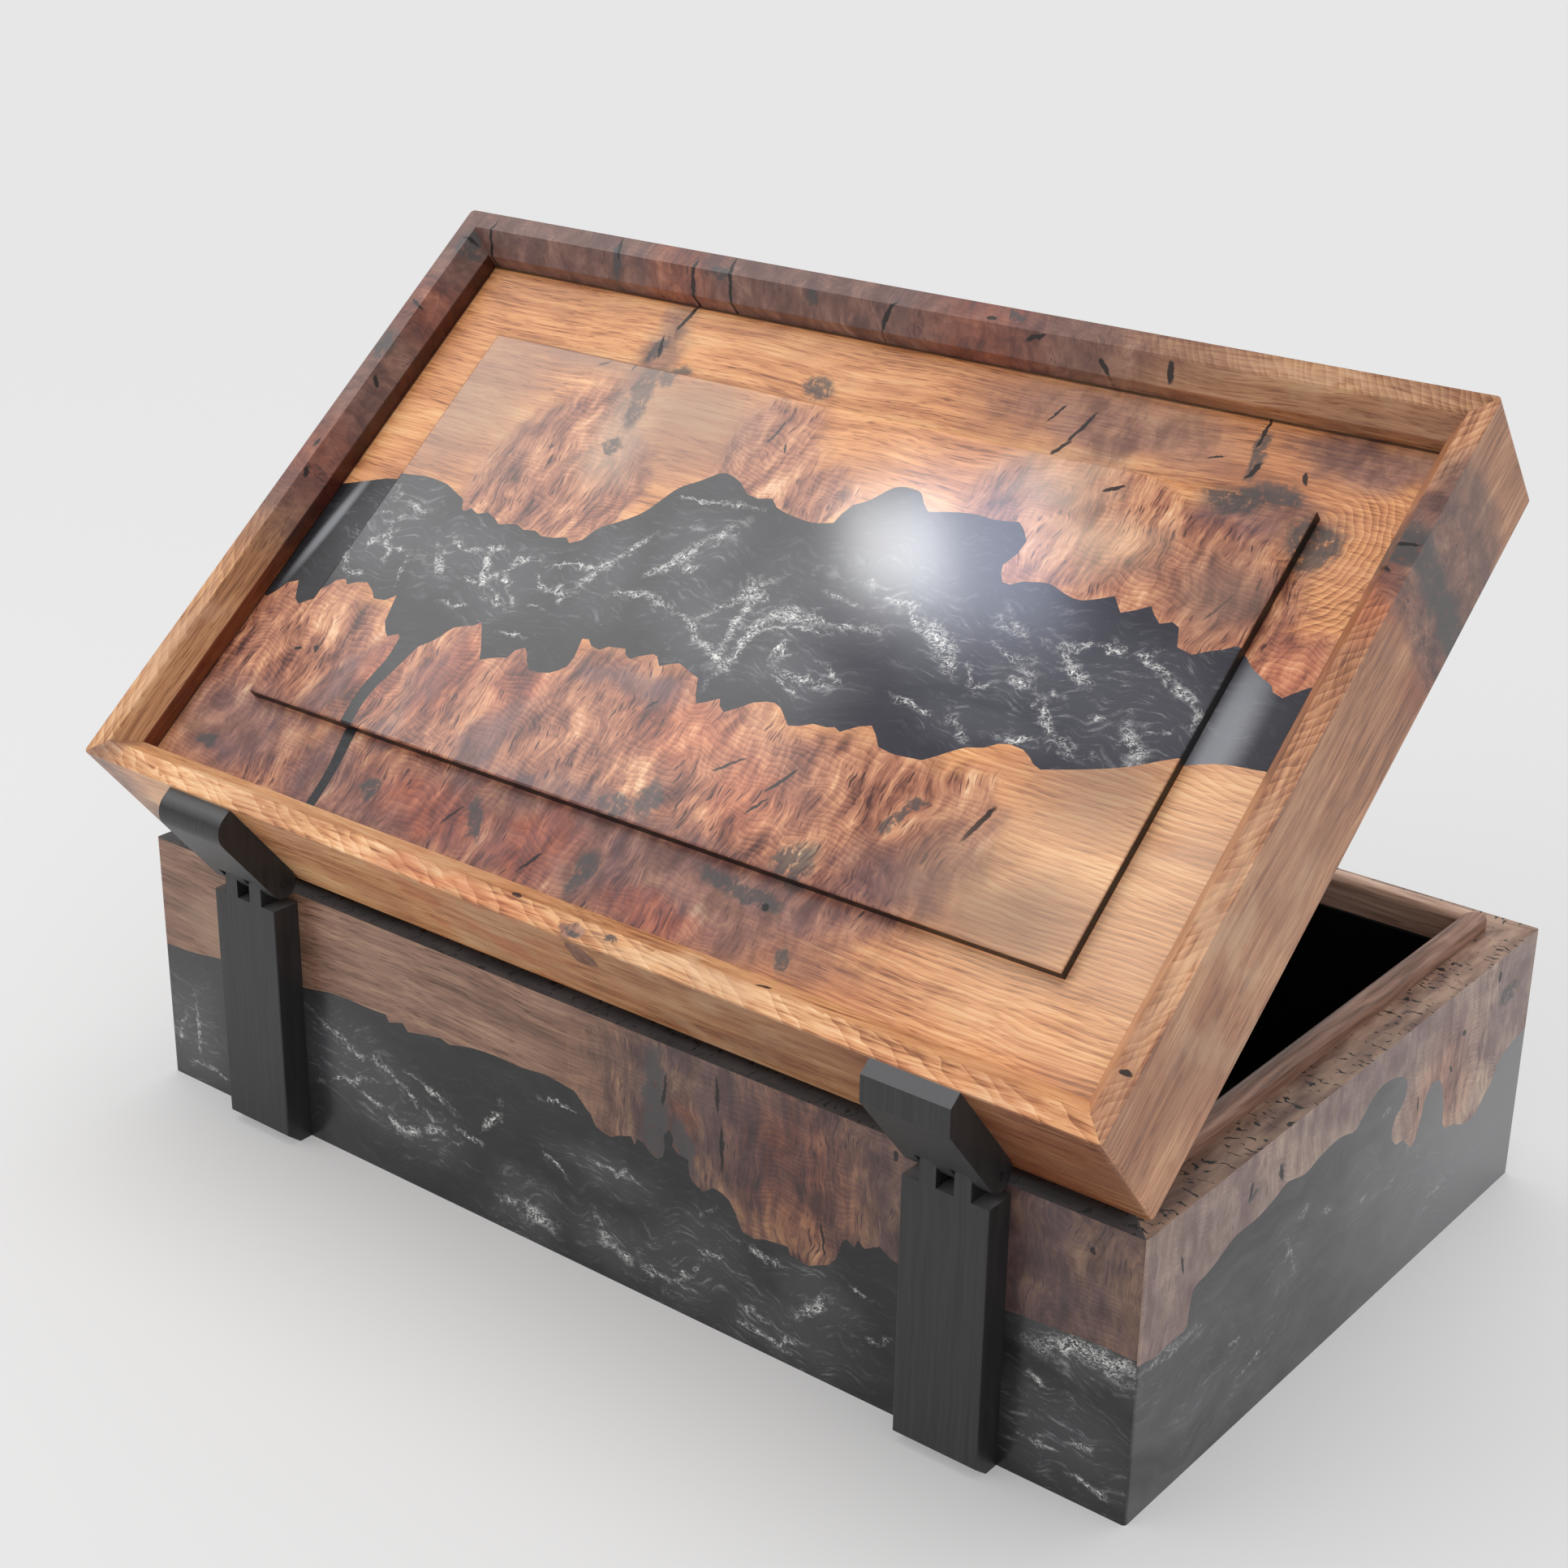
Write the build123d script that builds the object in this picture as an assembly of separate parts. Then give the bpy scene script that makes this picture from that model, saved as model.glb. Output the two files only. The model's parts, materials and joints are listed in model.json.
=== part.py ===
"""Keepsake box of live-edge wood and cast resin, with a framed lid on two knuckle hinges.

X runs along the hinge side, Y from the hinge side (back) to the opening side (front), Z up.
The origin is the middle of the flat underside. The lid's pieces are made in the closed
place and then turned about the hinge pins to the half-open pose. Millimetres.
"""
from build123d import *
import math
import os

# The box body
LENGTH = 410.0
DEPTH = 250.0
BASE_HEIGHT = 94.0
WALL = 13.3
CORNER_ROUND = 1.2
BOTTOM_THICKNESS = 8.0
BOTTOM_REBATE = 6.0
BOTTOM_PLAY = 0.2

# The wooden liner, which stands proud of the rim as a rounded bead, and the velvet
LINER = 7.0
BEAD_RISE = 7.2
VELVET = 1.5
FLOOR_PAD = 3.0
VELVET_BELOW_RIM = 5.0

# The lid frame: a narrow flat, a bevel down to the sight edge, a short upright, the panel
LID_HEIGHT = 46.7
LID_GAP = 0.3
LID_ROUND = 1.8
RAIL_FLAT = 7.2
RAIL_SIGHT = 13.3
RAIL_BEVEL_DROP = 7.7
RAIL_UPRIGHT = 5.7
BEAD_CLEARANCE = 1.2
GROOVE_DEPTH = 4.5
GROOVE_PLAY = 0.5

# The lid panel, with its raised field
PANEL_THICKNESS = 8.0
FIELD_RISE = 4.1
FIELD_END_MARGIN = 40.0
FIELD_SIDE_MARGIN = 44.5
FIELD_ROUND = 0.8
LID_VELVET = 1.2

# The hinges: a bar on the back wall, an arm on the lid's back rail, and a pin
HINGE_FROM_END = 58.7
HINGE_WIDTH = 30.0
KNUCKLES = 5
KNUCKLE_GAP = 0.2
PIN_RADIUS = 1.5
PIN_FIT = 0.03
PIN_RUNNING_FIT = 0.07
KNUCKLE_RADIUS = 5.2
KNUCKLE_OFF_WALL = 0.3
PIVOT_RISE = 5.5
SLOT_FLOOR = 3.0
SHOULDER = 6.0
BAR_FOOT_OUT = 5.3
BAR_FOOT_UP = 4.3
ARM_FLAT = 5.3
ARM_CHAMFER_DROP = 6.6
WORN_ARM_DROP = 2.0
WORN_ARM_ROUND = 7.0
HINGE_EDGE = 0.5

# The half-open pose, counted from the closed lid
OPEN_ANGLE = 39.0

# The live edges are drawn for a box of this size and stretch with it. A rounded corner
# takes this share of the shorter run beside it, and where that run is shorter than a
# tooth's, the corner stays sharp
DRAWN_LENGTH = 410.0
DRAWN_DEPTH = 250.0
DRAWN_HEIGHT = 94.0
LIVE_ROUNDING = 0.42
TOOTH_RUN = 5.2

# Live edges of the four walls: distance along the wall and height of the resin
BACK_EDGE = [
    (-205, 51.5), (-190, 53), (-178, 55), (-155, 57.5), (-131, 58.5), (-122.5, 60), (-118, 61),
    (-110, 61.5), (-98, 61.5), (-90, 62), (-88.5, 59.5), (-82, 61.5), (-79.5, 59), (-70, 61),
    (-64, 62), (-60, 61), (-50, 63.5), (-38, 64.5), (-28, 64), (-16, 65.5), (-8.5, 64.5), (-4, 64),
    (1, 59.5), (3, 58), (5, 54.5), (8, 53.5), (11.5, 53), (14, 54.5), (20, 56.5), (21.5, 54),
    (22.5, 56.5), (25.5, 56), (28, 53.5), (30.5, 52.5), (33, 54), (34, 57.5), (33.5, 62), (36, 65),
    (37.5, 62), (37, 59.5), (39, 57.5), (43.5, 57), (44, 50.5), (49.5, 48), (53.5, 51), (57, 50.5),
    (60, 49), (62.5, 45.5), (64, 42), (65.5, 40), (70, 39.5), (74.5, 41), (83, 42), (84, 39.5),
    (91, 38.5), (94, 40), (98.5, 42), (101, 45), (103.5, 52.5), (105, 53.5), (108, 52), (109, 55),
    (111.5, 53), (117, 56), (121, 53.5), (140, 50), (158, 53), (168, 54), (180, 54.5), (190, 55.5),
    (205, 55),
]
RIGHT_EDGE = [
    (-125, 55), (-120, 53), (-115, 51.5), (-108, 52.5), (-98.5, 52), (-98, 58), (-97, 65),
    (-90, 65.5), (-83, 67.5), (-75, 71), (-61, 70.5), (-50, 73), (-45, 75), (-33, 72), (-24, 74.5),
    (-12, 75.5), (-2, 72.5), (3, 76.5), (8, 80), (14, 82), (22, 81), (28, 79), (33, 75),
    (31.5, 68), (25.5, 65), (24.5, 58), (29, 54), (34, 53.5), (40, 48), (43, 49.5), (46, 57),
    (47, 63), (52, 67), (58, 65), (62, 57), (64, 44), (72, 42.5), (80, 38.5), (89, 38), (94, 42),
    (101, 46), (103, 51.5), (108, 54), (116, 56), (125, 58),
]
FRONT_EDGE = [
    (-205, 40), (-178, 46), (-150, 38), (-122, 45), (-108, 53), (-104, 55), (-101, 52),
    (-96, 53.5), (-92, 49), (-87, 50.5), (-82, 47), (-79, 50), (-74, 51.5), (-71, 56), (-66, 55),
    (-58, 60), (-54, 57), (-50, 59), (-44, 55.5), (-31, 56), (-8, 66), (16, 64), (19, 59),
    (23, 58), (25.5, 53.5), (29, 54), (33, 57.5), (37, 57), (40, 61), (48, 61.5), (52, 56),
    (56, 57), (60, 52), (65, 53), (70, 49), (74, 51.5), (79, 50), (84, 54), (92, 53), (118, 43),
    (146, 51), (178, 49), (205, 58),
]
LEFT_EDGE = [
    (-125, 50), (-104, 56), (-80, 49), (-76, 52), (-72, 51.5), (-68, 57), (-62, 61), (-58, 58),
    (-53, 59.5), (-48, 56), (-38, 57), (-14, 66), (6, 63), (10, 58.5), (14, 57.5), (17, 52.5),
    (22, 53.5), (27, 50.5), (33, 52.5), (40, 50), (60, 57), (84, 45), (106, 43), (125, 40),
]

# Live edges of the lid's river, seen from above with the lid closed
FRONT_BANK = [
    (-205, 3), (-194, 6.5), (-183, 10.5), (-173, 14.5), (-163, 15.5), (-152, 17), (-142, 16),
    (-136, 13.5), (-131.5, 12), (-129, 8), (-127.5, 7.5), (-125.5, 9.2), (-121.5, 7.8),
    (-117.5, 9.4), (-113, 7.8), (-110, 6), (-103, 8), (-99, 6.5), (-94, 7.4), (-90, 6), (-85, 6.6),
    (-80, 8), (-77.5, 6.2), (-73.5, 8.5), (-70, 15), (-65, 18), (-57, 24), (-50, 37), (-43, 41.5),
    (-37, 47), (-29, 45), (-23, 40.6), (-18, 40), (-13, 41.3), (-9.5, 38.6), (-4, 37), (7, 36),
    (14, 38), (15, 42), (17, 46), (21.7, 49), (28, 57), (37.5, 56.7), (41, 52.5), (44, 50),
    (52, 52), (60, 53.2), (67.5, 52.6), (76, 54), (79, 51.7), (82, 48), (81.5, 43), (79, 38),
    (80, 35), (82, 32.3), (85, 32), (88, 34), (97, 36), (103.5, 33.6), (109, 32.4), (114, 34.2),
    (119.5, 37), (121.7, 34.4), (124, 32), (128, 34), (132, 36.6), (134.5, 34), (137.5, 31.6),
    (141, 33.2), (143.8, 32), (145.2, 28.8), (146.5, 25.6), (152, 24.4), (156.5, 27), (160, 28.5),
    (164.5, 31.5), (168.5, 27.5), (173.5, 25), (177, 23.5), (178.5, 21.5), (182, 20.5),
    (184, 22.5), (188.5, 26.5), (205, 33),
]
BACK_BANK_LEFT = [
    (-205, -37), (-196, -40.5), (-190, -43.5), (-187.5, -40.5), (-185, -36), (-181, -34),
    (-179.5, -36.5), (-177, -41), (-174, -42.5), (-170, -39.5), (-165, -37), (-162, -34),
    (-160.5, -31.5), (-157, -30), (-155, -32), (-151.5, -30), (-147, -29), (-142.5, -31.5),
    (-140, -34), (-135, -33.5), (-131.5, -30.5), (-130.5, -35), (-129, -41), (-126.5, -44),
    (-124, -46), (-119, -43), (-118, -53), (-121, -68), (-120, -80), (-116, -97),
    (-115, -125),
]
BACK_BANK_RIGHT = [
    (-111, -125), (-112, -97), (-115, -80), (-116, -68), (-112, -56), (-109, -46), (-106, -43.5),
    (-104, -41.5), (-102.5, -38.5), (-100, -35.5), (-96.5, -34), (-93, -32.8), (-91, -31),
    (-89.5, -32.5), (-87.5, -35.5), (-85, -39), (-82, -44), (-79, -42.5), (-75, -41),
    (-72.5, -40.5), (-71, -37), (-68, -35), (-66, -36.5), (-64, -39.5), (-61, -42), (-57, -42),
    (-53, -41), (-50, -39), (-48, -37), (-47.5, -33), (-49, -26), (-46.5, -25.5), (-44, -27.5),
    (-40, -28), (-37.5, -26), (-31, -25), (-29.5, -27), (-27, -28), (-25, -26.5), (-20, -24),
    (-18, -24.3), (-16.5, -26), (-15, -27.5), (-11.5, -25.5), (-8.5, -24.5), (-2.5, -26.5),
    (1, -27.5), (4, -33.5), (6, -36), (9, -34.5), (13, -32), (14.5, -34.5), (17, -36), (20, -34),
    (25, -30), (29, -28.5), (32, -28), (35, -29), (37.5, -31), (41, -34), (45, -33), (49, -31),
    (54, -30.8), (56.5, -30), (59, -31), (64, -27.5), (68, -26), (71, -28.5), (74, -32), (80, -33),
    (90, -32), (93.5, -29.5), (98, -26), (101, -24), (106.5, -22.5), (110, -20), (113.5, -19),
    (118.5, -19.5), (121.5, -21), (124, -23), (127, -24), (140, -20), (152, -15.5), (163, -9),
    (174, -4.5), (189, -3), (205, 0),
]

# Heights and places that follow from the sizes above
BEAD_TOP = BASE_HEIGHT + BEAD_RISE
LID_BOTTOM = BASE_HEIGHT + LID_GAP
LID_TOP = LID_BOTTOM + LID_HEIGHT
SIGHT_EDGE = LID_TOP - RAIL_BEVEL_DROP
PANEL_TOP = SIGHT_EDGE - RAIL_UPRIGHT
PANEL_BOTTOM = PANEL_TOP - PANEL_THICKNESS
RAIL_LOWER = WALL - BEAD_CLEARANCE
PANEL_INSET = RAIL_SIGHT - GROOVE_DEPTH + GROOVE_PLAY
PIVOT_OUT = KNUCKLE_OFF_WALL + KNUCKLE_RADIUS
HINGE_THICKNESS = PIVOT_OUT + KNUCKLE_RADIUS
PIVOT = (0, -DEPTH / 2 - PIVOT_OUT, BASE_HEIGHT + PIVOT_RISE)
KNUCKLE_PITCH = HINGE_WIDTH / KNUCKLES
SIDES = ("back", "front", "left", "right")
BEYOND = 2 * LENGTH

pieces = {}


def box_between(low, high):
    """A solid block between two opposite corners."""
    size = [b - a for a, b in zip(low, high)]
    middle = [(a + b) / 2 for a, b in zip(low, high)]
    return Pos(*middle) * Box(*size)


def inset_block(inset, bottom, top):
    """A block that stays a given distance inside the four outer faces."""
    x = LENGTH / 2 - inset
    y = DEPTH / 2 - inset
    return box_between((-x, -y, bottom), (x, y, top))


def section_plane(side):
    """Plane across a side's board: first axis inwards from the outer face, second axis up."""
    planes = {
        "back": Plane(origin=(0, -DEPTH / 2, 0), x_dir=(0, 1, 0), z_dir=(1, 0, 0)),
        "front": Plane(origin=(0, DEPTH / 2, 0), x_dir=(0, -1, 0), z_dir=(-1, 0, 0)),
        "left": Plane(origin=(-LENGTH / 2, 0, 0), x_dir=(1, 0, 0), z_dir=(0, -1, 0)),
        "right": Plane(origin=(LENGTH / 2, 0, 0), x_dir=(-1, 0, 0), z_dir=(0, 1, 0)),
    }
    return planes[side]


def face_plane(side):
    """Plane of a side's outer face: first axis along +X or +Y, second axis up."""
    planes = {
        "back": Plane(origin=(0, -DEPTH / 2, 0), x_dir=(1, 0, 0), z_dir=(0, -1, 0)),
        "front": Plane(origin=(0, DEPTH / 2, 0), x_dir=(1, 0, 0), z_dir=(0, -1, 0)),
        "left": Plane(origin=(-LENGTH / 2, 0, 0), x_dir=(0, 1, 0), z_dir=(1, 0, 0)),
        "right": Plane(origin=(LENGTH / 2, 0, 0), x_dir=(0, 1, 0), z_dir=(1, 0, 0)),
    }
    return planes[side]


def mitre_wedge(side):
    """The part of the box's plan that belongs to one side: its corners are cut at 45 degrees."""
    x = LENGTH / 2
    y = DEPTH / 2
    reach = DEPTH / 4
    near = {
        "back": [(-x, -y), (x, -y), (x - reach, reach - y), (reach - x, reach - y)],
        "front": [(x, y), (-x, y), (reach - x, y - reach), (x - reach, y - reach)],
        "left": [(-x, y), (-x, -y), (reach - x, reach - y), (reach - x, y - reach)],
        "right": [(x, -y), (x, y), (x - reach, y - reach), (x - reach, reach - y)],
    }
    return extrude(Polygon(*near[side], align=None), amount=LID_TOP)


def mitred_board(side, section):
    """A board of the given section along one side, mitred at both ends."""
    board = extrude(section_plane(side) * section, amount=LENGTH, both=True)
    return board & mitre_wedge(side)


def eased_block(bottom, top, radius):
    """The outer block of the body or the lid, with its upright corners eased."""
    block = inset_block(0, bottom, top)
    return fillet(block.edges().filter_by(Axis.Z), radius)


def stretched(points, across, up):
    """The points of a live edge, stretched to the size of the box."""
    return [(x * across, y * up) for x, y in points]


def past_ends(points, end):
    """A live edge whose first and last points lie past both ends of its board."""
    return [(-end - WALL, points[0][1]), *points[1:-1], (end + WALL, points[-1][1])]


def live_line(points):
    """A live edge: straight runs joined by arcs, each as large as its two runs allow. Where the
    wood broke into small teeth, the corners stay sharp."""
    radii = []
    for before, here, after in zip(points, points[1:], points[2:]):
        first = Vector(*here) - Vector(*before)
        second = Vector(*after) - Vector(*here)
        turn = math.radians(first.get_angle(second))
        run = min(first.length, second.length)
        radii.append(0 if run < TOOTH_RUN else LIVE_ROUNDING * run / math.tan(turn / 2))
    return FilletPolyline(*points, radius=radii)


def area_beside(points, *far_corners):
    """The flat area between a live edge and the far corners that close it."""
    closing = Polyline(points[-1], *far_corners, points[0])
    return make_face(Curve() + [live_line(points), closing])


def split_wall(side, live_edge):
    """One wall, cut along its live edge into the wood above and the resin below."""
    section = Polygon(
        (0, 0),
        (WALL - BOTTOM_REBATE, 0),
        (WALL - BOTTOM_REBATE, BOTTOM_THICKNESS),
        (WALL, BOTTOM_THICKNESS),
        (WALL, BASE_HEIGHT),
        (0, BASE_HEIGHT),
        align=None,
    )
    wall = mitred_board(side, section) & eased_block(0, BASE_HEIGHT, CORNER_ROUND)
    size, drawn = (LENGTH, DRAWN_LENGTH) if side in ("back", "front") else (DEPTH, DRAWN_DEPTH)
    line = past_ends(stretched(live_edge, size / drawn, BASE_HEIGHT / DRAWN_HEIGHT), size / 2)
    first, last = line[0], line[-1]
    below = area_beside(line, (last[0], -WALL), (first[0], -WALL))
    resin_space = extrude(face_plane(side) * below, amount=2 * WALL, both=True)
    pieces[f"{side}_wall_wood"] = wall - resin_space
    pieces[f"{side}_wall_resin"] = wall & resin_space


def body_walls():
    """The four mitred walls of the body."""
    split_wall("back", BACK_EDGE)
    split_wall("right", RIGHT_EDGE)
    split_wall("front", FRONT_EDGE)
    split_wall("left", LEFT_EDGE)


def body_bottom():
    """The bottom board, let into the walls' rebate flush with their lower edges."""
    inset = WALL - BOTTOM_REBATE + BOTTOM_PLAY
    pieces["bottom_board"] = inset_block(inset, 0, BOTTOM_THICKNESS)


def liners():
    """Liner boards inside the walls, with a half-round top that stands above the rim."""
    bead_middle = BEAD_TOP - LINER / 2
    board = Polygon(
        (WALL, BOTTOM_THICKNESS),
        (WALL + LINER, BOTTOM_THICKNESS),
        (WALL + LINER, bead_middle),
        (WALL, bead_middle),
        align=None,
    )
    section = board + Pos(WALL + LINER / 2, bead_middle) * Circle(LINER / 2)
    for side in SIDES:
        pieces[f"{side}_liner"] = mitred_board(side, section)


def velvet():
    """The velvet lining: a floor pad, and a facing on each liner up to just under the rim."""
    pad_top = BOTTOM_THICKNESS + FLOOR_PAD
    outer = WALL + LINER
    pieces["floor_velvet"] = inset_block(outer, BOTTOM_THICKNESS, pad_top)
    section = Polygon(
        (outer, pad_top),
        (outer + VELVET, pad_top),
        (outer + VELVET, BASE_HEIGHT - VELVET_BELOW_RIM),
        (outer, BASE_HEIGHT - VELVET_BELOW_RIM),
        align=None,
    )
    for side in SIDES:
        pieces[f"{side}_velvet"] = mitred_board(side, section)


def lid_rails():
    """The four mitred rails of the lid frame, grooved for the panel."""
    groove = RAIL_SIGHT - GROOVE_DEPTH
    section = Polygon(
        (0, LID_BOTTOM),
        (RAIL_LOWER, LID_BOTTOM),
        (RAIL_LOWER, PANEL_BOTTOM),
        (groove, PANEL_BOTTOM),
        (groove, PANEL_TOP),
        (RAIL_SIGHT, PANEL_TOP),
        (RAIL_SIGHT, SIGHT_EDGE),
        (RAIL_FLAT, LID_TOP),
        (0, LID_TOP),
        align=None,
    )
    outline = eased_block(LID_BOTTOM, LID_TOP, LID_ROUND)
    for side in SIDES:
        pieces[f"lid_{side}_rail"] = mitred_board(side, section) & outline


def lid_panel():
    """The panel and its raised field, cut along the river's banks into wood and resin."""
    slab = inset_block(PANEL_INSET, PANEL_BOTTOM, PANEL_TOP)
    x = LENGTH / 2 - FIELD_END_MARGIN
    y = DEPTH / 2 - FIELD_SIDE_MARGIN
    field = box_between((-x, -y, PANEL_TOP), (x, y, PANEL_TOP + FIELD_RISE))
    field = fillet(field.edges().group_by(Axis.Z)[-1], FIELD_ROUND)
    board = slab + field
    out_x = LENGTH / 2 + WALL
    out_y = DEPTH / 2 + WALL
    stretch = (LENGTH / DRAWN_LENGTH, DEPTH / DRAWN_DEPTH)
    front_line = past_ends(stretched(FRONT_BANK, *stretch), LENGTH / 2)
    front = area_beside(front_line, (out_x, out_y), (-out_x, out_y))
    left_line = stretched(BACK_BANK_LEFT, *stretch)
    left_line = [(-out_x, left_line[0][1]), *left_line[1:-1], (left_line[-1][0], -out_y)]
    back_left = area_beside(left_line, (-out_x, -out_y))
    right_line = stretched(BACK_BANK_RIGHT, *stretch)
    right_line = [(right_line[0][0], -out_y), *right_line[1:-1], (out_x, right_line[-1][1])]
    back_right = area_beside(right_line, (out_x, -out_y))
    resin = board
    for name, area in (("front", front), ("back_left", back_left), ("back_right", back_right)):
        bank = extrude(area, amount=LID_TOP)
        pieces[f"lid_{name}_wood"] = board & bank
        resin = resin - bank
    pieces["lid_river_resin"] = resin


def lid_velvet():
    """The velvet under the panel, between the rails."""
    pieces["lid_velvet"] = inset_block(RAIL_LOWER, PANEL_BOTTOM - LID_VELVET, PANEL_BOTTOM)


def across_hinge(side):
    """Plane through a hinge's left end: first axis outwards from the back wall, second up."""
    from_middle = LENGTH / 2 - HINGE_FROM_END
    middle = {"left": -from_middle, "right": from_middle}[side]
    return Plane(origin=(middle - HINGE_WIDTH / 2, -DEPTH / 2, 0), x_dir=(0, -1, 0), z_dir=(-1, 0, 0))


def hinge_piece(side, outline):
    """A hinge piece of the full width, from its outline across the hinge."""
    return extrude(across_hinge(side) * make_face(outline), amount=-HINGE_WIDTH)


def knuckle_slots(side, numbers, bottom, top):
    """The room between the named knuckles' neighbours, from a floor to a shoulder."""
    start = across_hinge(side).origin.X
    slots = []
    for number in numbers:
        low = start + number * KNUCKLE_PITCH - KNUCKLE_GAP / 2
        high = start + (number + 1) * KNUCKLE_PITCH + KNUCKLE_GAP / 2
        out = -DEPTH / 2 - 2 * HINGE_THICKNESS
        slots.append(box_between((low, out, bottom), (high, -DEPTH / 2, top)))
    return slots


def pin_cylinder(side, radius):
    """A cylinder along the hinge's pin, through its whole width."""
    middle = across_hinge(side).origin.X + HINGE_WIDTH / 2
    return Pos(middle, PIVOT[1], PIVOT[2]) * Rot(0, 90, 0) * Cylinder(radius, HINGE_WIDTH)


def hinge_bar(side):
    """The bar on the back wall: a chamfered foot, and two knuckles above the rim."""
    pivot_z = PIVOT[2]
    out = HINGE_THICKNESS
    off = KNUCKLE_OFF_WALL
    outline = Curve() + [
        Polyline((off, pivot_z), (off, BASE_HEIGHT), (0, BASE_HEIGHT), (0, 0),
                 (out - BAR_FOOT_OUT, 0), (out, BAR_FOOT_UP), (out, pivot_z)),
        ThreePointArc((out, pivot_z), (PIVOT_OUT, pivot_z + KNUCKLE_RADIUS), (off, pivot_z)),
    ]
    bar = hinge_piece(side, outline)
    upright_corners = bar.edges().filter_by(Axis.Z).group_by(Axis.Y)[0]
    bar = fillet(upright_corners, HINGE_EDGE)
    top = pivot_z + HINGE_THICKNESS
    bar = bar - knuckle_slots(side, range(0, KNUCKLES, 2), BASE_HEIGHT - SLOT_FLOOR, top)
    pieces[f"{side}_hinge_bar"] = bar - pin_cylinder(side, PIN_RADIUS + PIN_FIT)


def arm_outline(top, corner):
    """Outline of a hinge arm, from its round knuckle to its top, with the given outer corner."""
    pivot_z = PIVOT[2]
    out = HINGE_THICKNESS
    off = KNUCKLE_OFF_WALL
    first, last = corner[0], corner[-1]
    joined = Polyline(*corner) if len(corner) < 3 else ThreePointArc(*corner)
    return Curve() + [
        Polyline(last, (out, pivot_z)),
        ThreePointArc((out, pivot_z), (PIVOT_OUT, pivot_z - KNUCKLE_RADIUS), (off, pivot_z)),
        Polyline((off, pivot_z), (0, pivot_z), (0, top), first),
        joined,
    ]


def hinge_arm(side):
    """The arm on the lid's back rail, with three knuckles. The left arm's top is rounded over."""
    out = HINGE_THICKNESS
    if side == "right":
        top = LID_TOP
        corner = [(ARM_FLAT, top), (out, top - ARM_CHAMFER_DROP)]
    else:
        top = LID_TOP - WORN_ARM_DROP
        centre = (out - WORN_ARM_ROUND, top - WORN_ARM_ROUND)
        diagonal = WORN_ARM_ROUND / math.sqrt(2)
        corner = [(centre[0], top), (centre[0] + diagonal, centre[1] + diagonal), (out, centre[1])]
    arm = hinge_piece(side, arm_outline(top, corner))
    shoulder = PIVOT[2] + SHOULDER
    arm = arm - knuckle_slots(side, range(1, KNUCKLES, 2), BASE_HEIGHT - LINER, shoulder)
    pieces[f"{side}_hinge_arm"] = arm - pin_cylinder(side, PIN_RADIUS + PIN_RUNNING_FIT)


def hinge_pin(side):
    """The steel pin, fixed in the bar's knuckles and turning in the arm's."""
    pieces[f"{side}_hinge_pin"] = pin_cylinder(side, PIN_RADIUS)


def is_on_lid(name):
    """True for the pieces that turn with the lid."""
    return name.startswith("lid_") or name.endswith("_arm")


def write_pieces():
    """Turn the lid's pieces to the half-open pose and write one file for each piece."""
    os.makedirs("parts", exist_ok=True)
    hinge_line = Axis(PIVOT, (1, 0, 0))
    for name, piece in pieces.items():
        placed = piece.rotate(hinge_line, OPEN_ANGLE) if is_on_lid(name) else piece
        export_step(placed, f"parts/{name}.step")


body_walls()
body_bottom()
liners()
velvet()
lid_rails()
lid_panel()
lid_velvet()
for hinge_side in ("left", "right"):
    hinge_bar(hinge_side)
    hinge_arm(hinge_side)
    hinge_pin(hinge_side)
write_pieces()
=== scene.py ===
"""The looks of the keepsake box: burl wood, cast resin, ebonised hinges and black velvet."""
import json
import math

import bpy
from mathutils import Euler, Matrix, Vector


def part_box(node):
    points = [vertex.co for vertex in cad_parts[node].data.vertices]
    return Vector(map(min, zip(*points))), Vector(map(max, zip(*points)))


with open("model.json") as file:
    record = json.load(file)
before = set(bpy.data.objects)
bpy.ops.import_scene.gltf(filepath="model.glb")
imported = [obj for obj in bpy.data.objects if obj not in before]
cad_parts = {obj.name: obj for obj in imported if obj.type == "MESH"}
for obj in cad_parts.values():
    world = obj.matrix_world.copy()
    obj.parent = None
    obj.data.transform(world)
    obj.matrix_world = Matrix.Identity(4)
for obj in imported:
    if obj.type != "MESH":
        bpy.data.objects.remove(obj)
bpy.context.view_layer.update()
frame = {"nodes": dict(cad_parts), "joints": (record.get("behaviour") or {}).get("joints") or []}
nodes = frame["nodes"]

MM = 0.001
SIDES = ("back", "front", "left", "right")

# The box and its hinge, read from the frame
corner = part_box("right_wall_wood")[1]
HALF_LENGTH = corner.x / MM
HALF_DEPTH = corner.y / MM
hinge = frame["joints"][0]
PIVOT = Vector(hinge["pos_m"])
OPEN_ANGLE = math.radians(-hinge["range_deg"][0])

# Heights on the closed lid, in millimetres
LID_TOP = 141.0
PANEL_TOP = 127.6
FIELD_TOP = 131.7

# Heights above the panel's margin at which the cut edge of its field begins, and the field
EDGE_START = (0.15, 0.4)
FIELD_START = (3.4, 3.9)

# The width of the rails from above, and of the dark line along the joint between them and the
# panel, which is partly painted shade from the rails
RAIL_SIGHT = 13.3
JOINT_WIDTH = 0.9
PANEL_JOINT = (HALF_LENGTH - RAIL_SIGHT - JOINT_WIDTH, HALF_DEPTH - RAIL_SIGHT - JOINT_WIDTH, 0)

# Camera, matched to the photograph
CAMERA_PLACE = (0.50695, -0.66618, 0.48279)
CAMERA_TURN = (67.158, -0.791, 38.679)
CAMERA_LENS = 61.32

# How far the cards that the lid reflects stand from it, in metres
CARD_DISTANCE = 1.5


# Nodes

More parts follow.
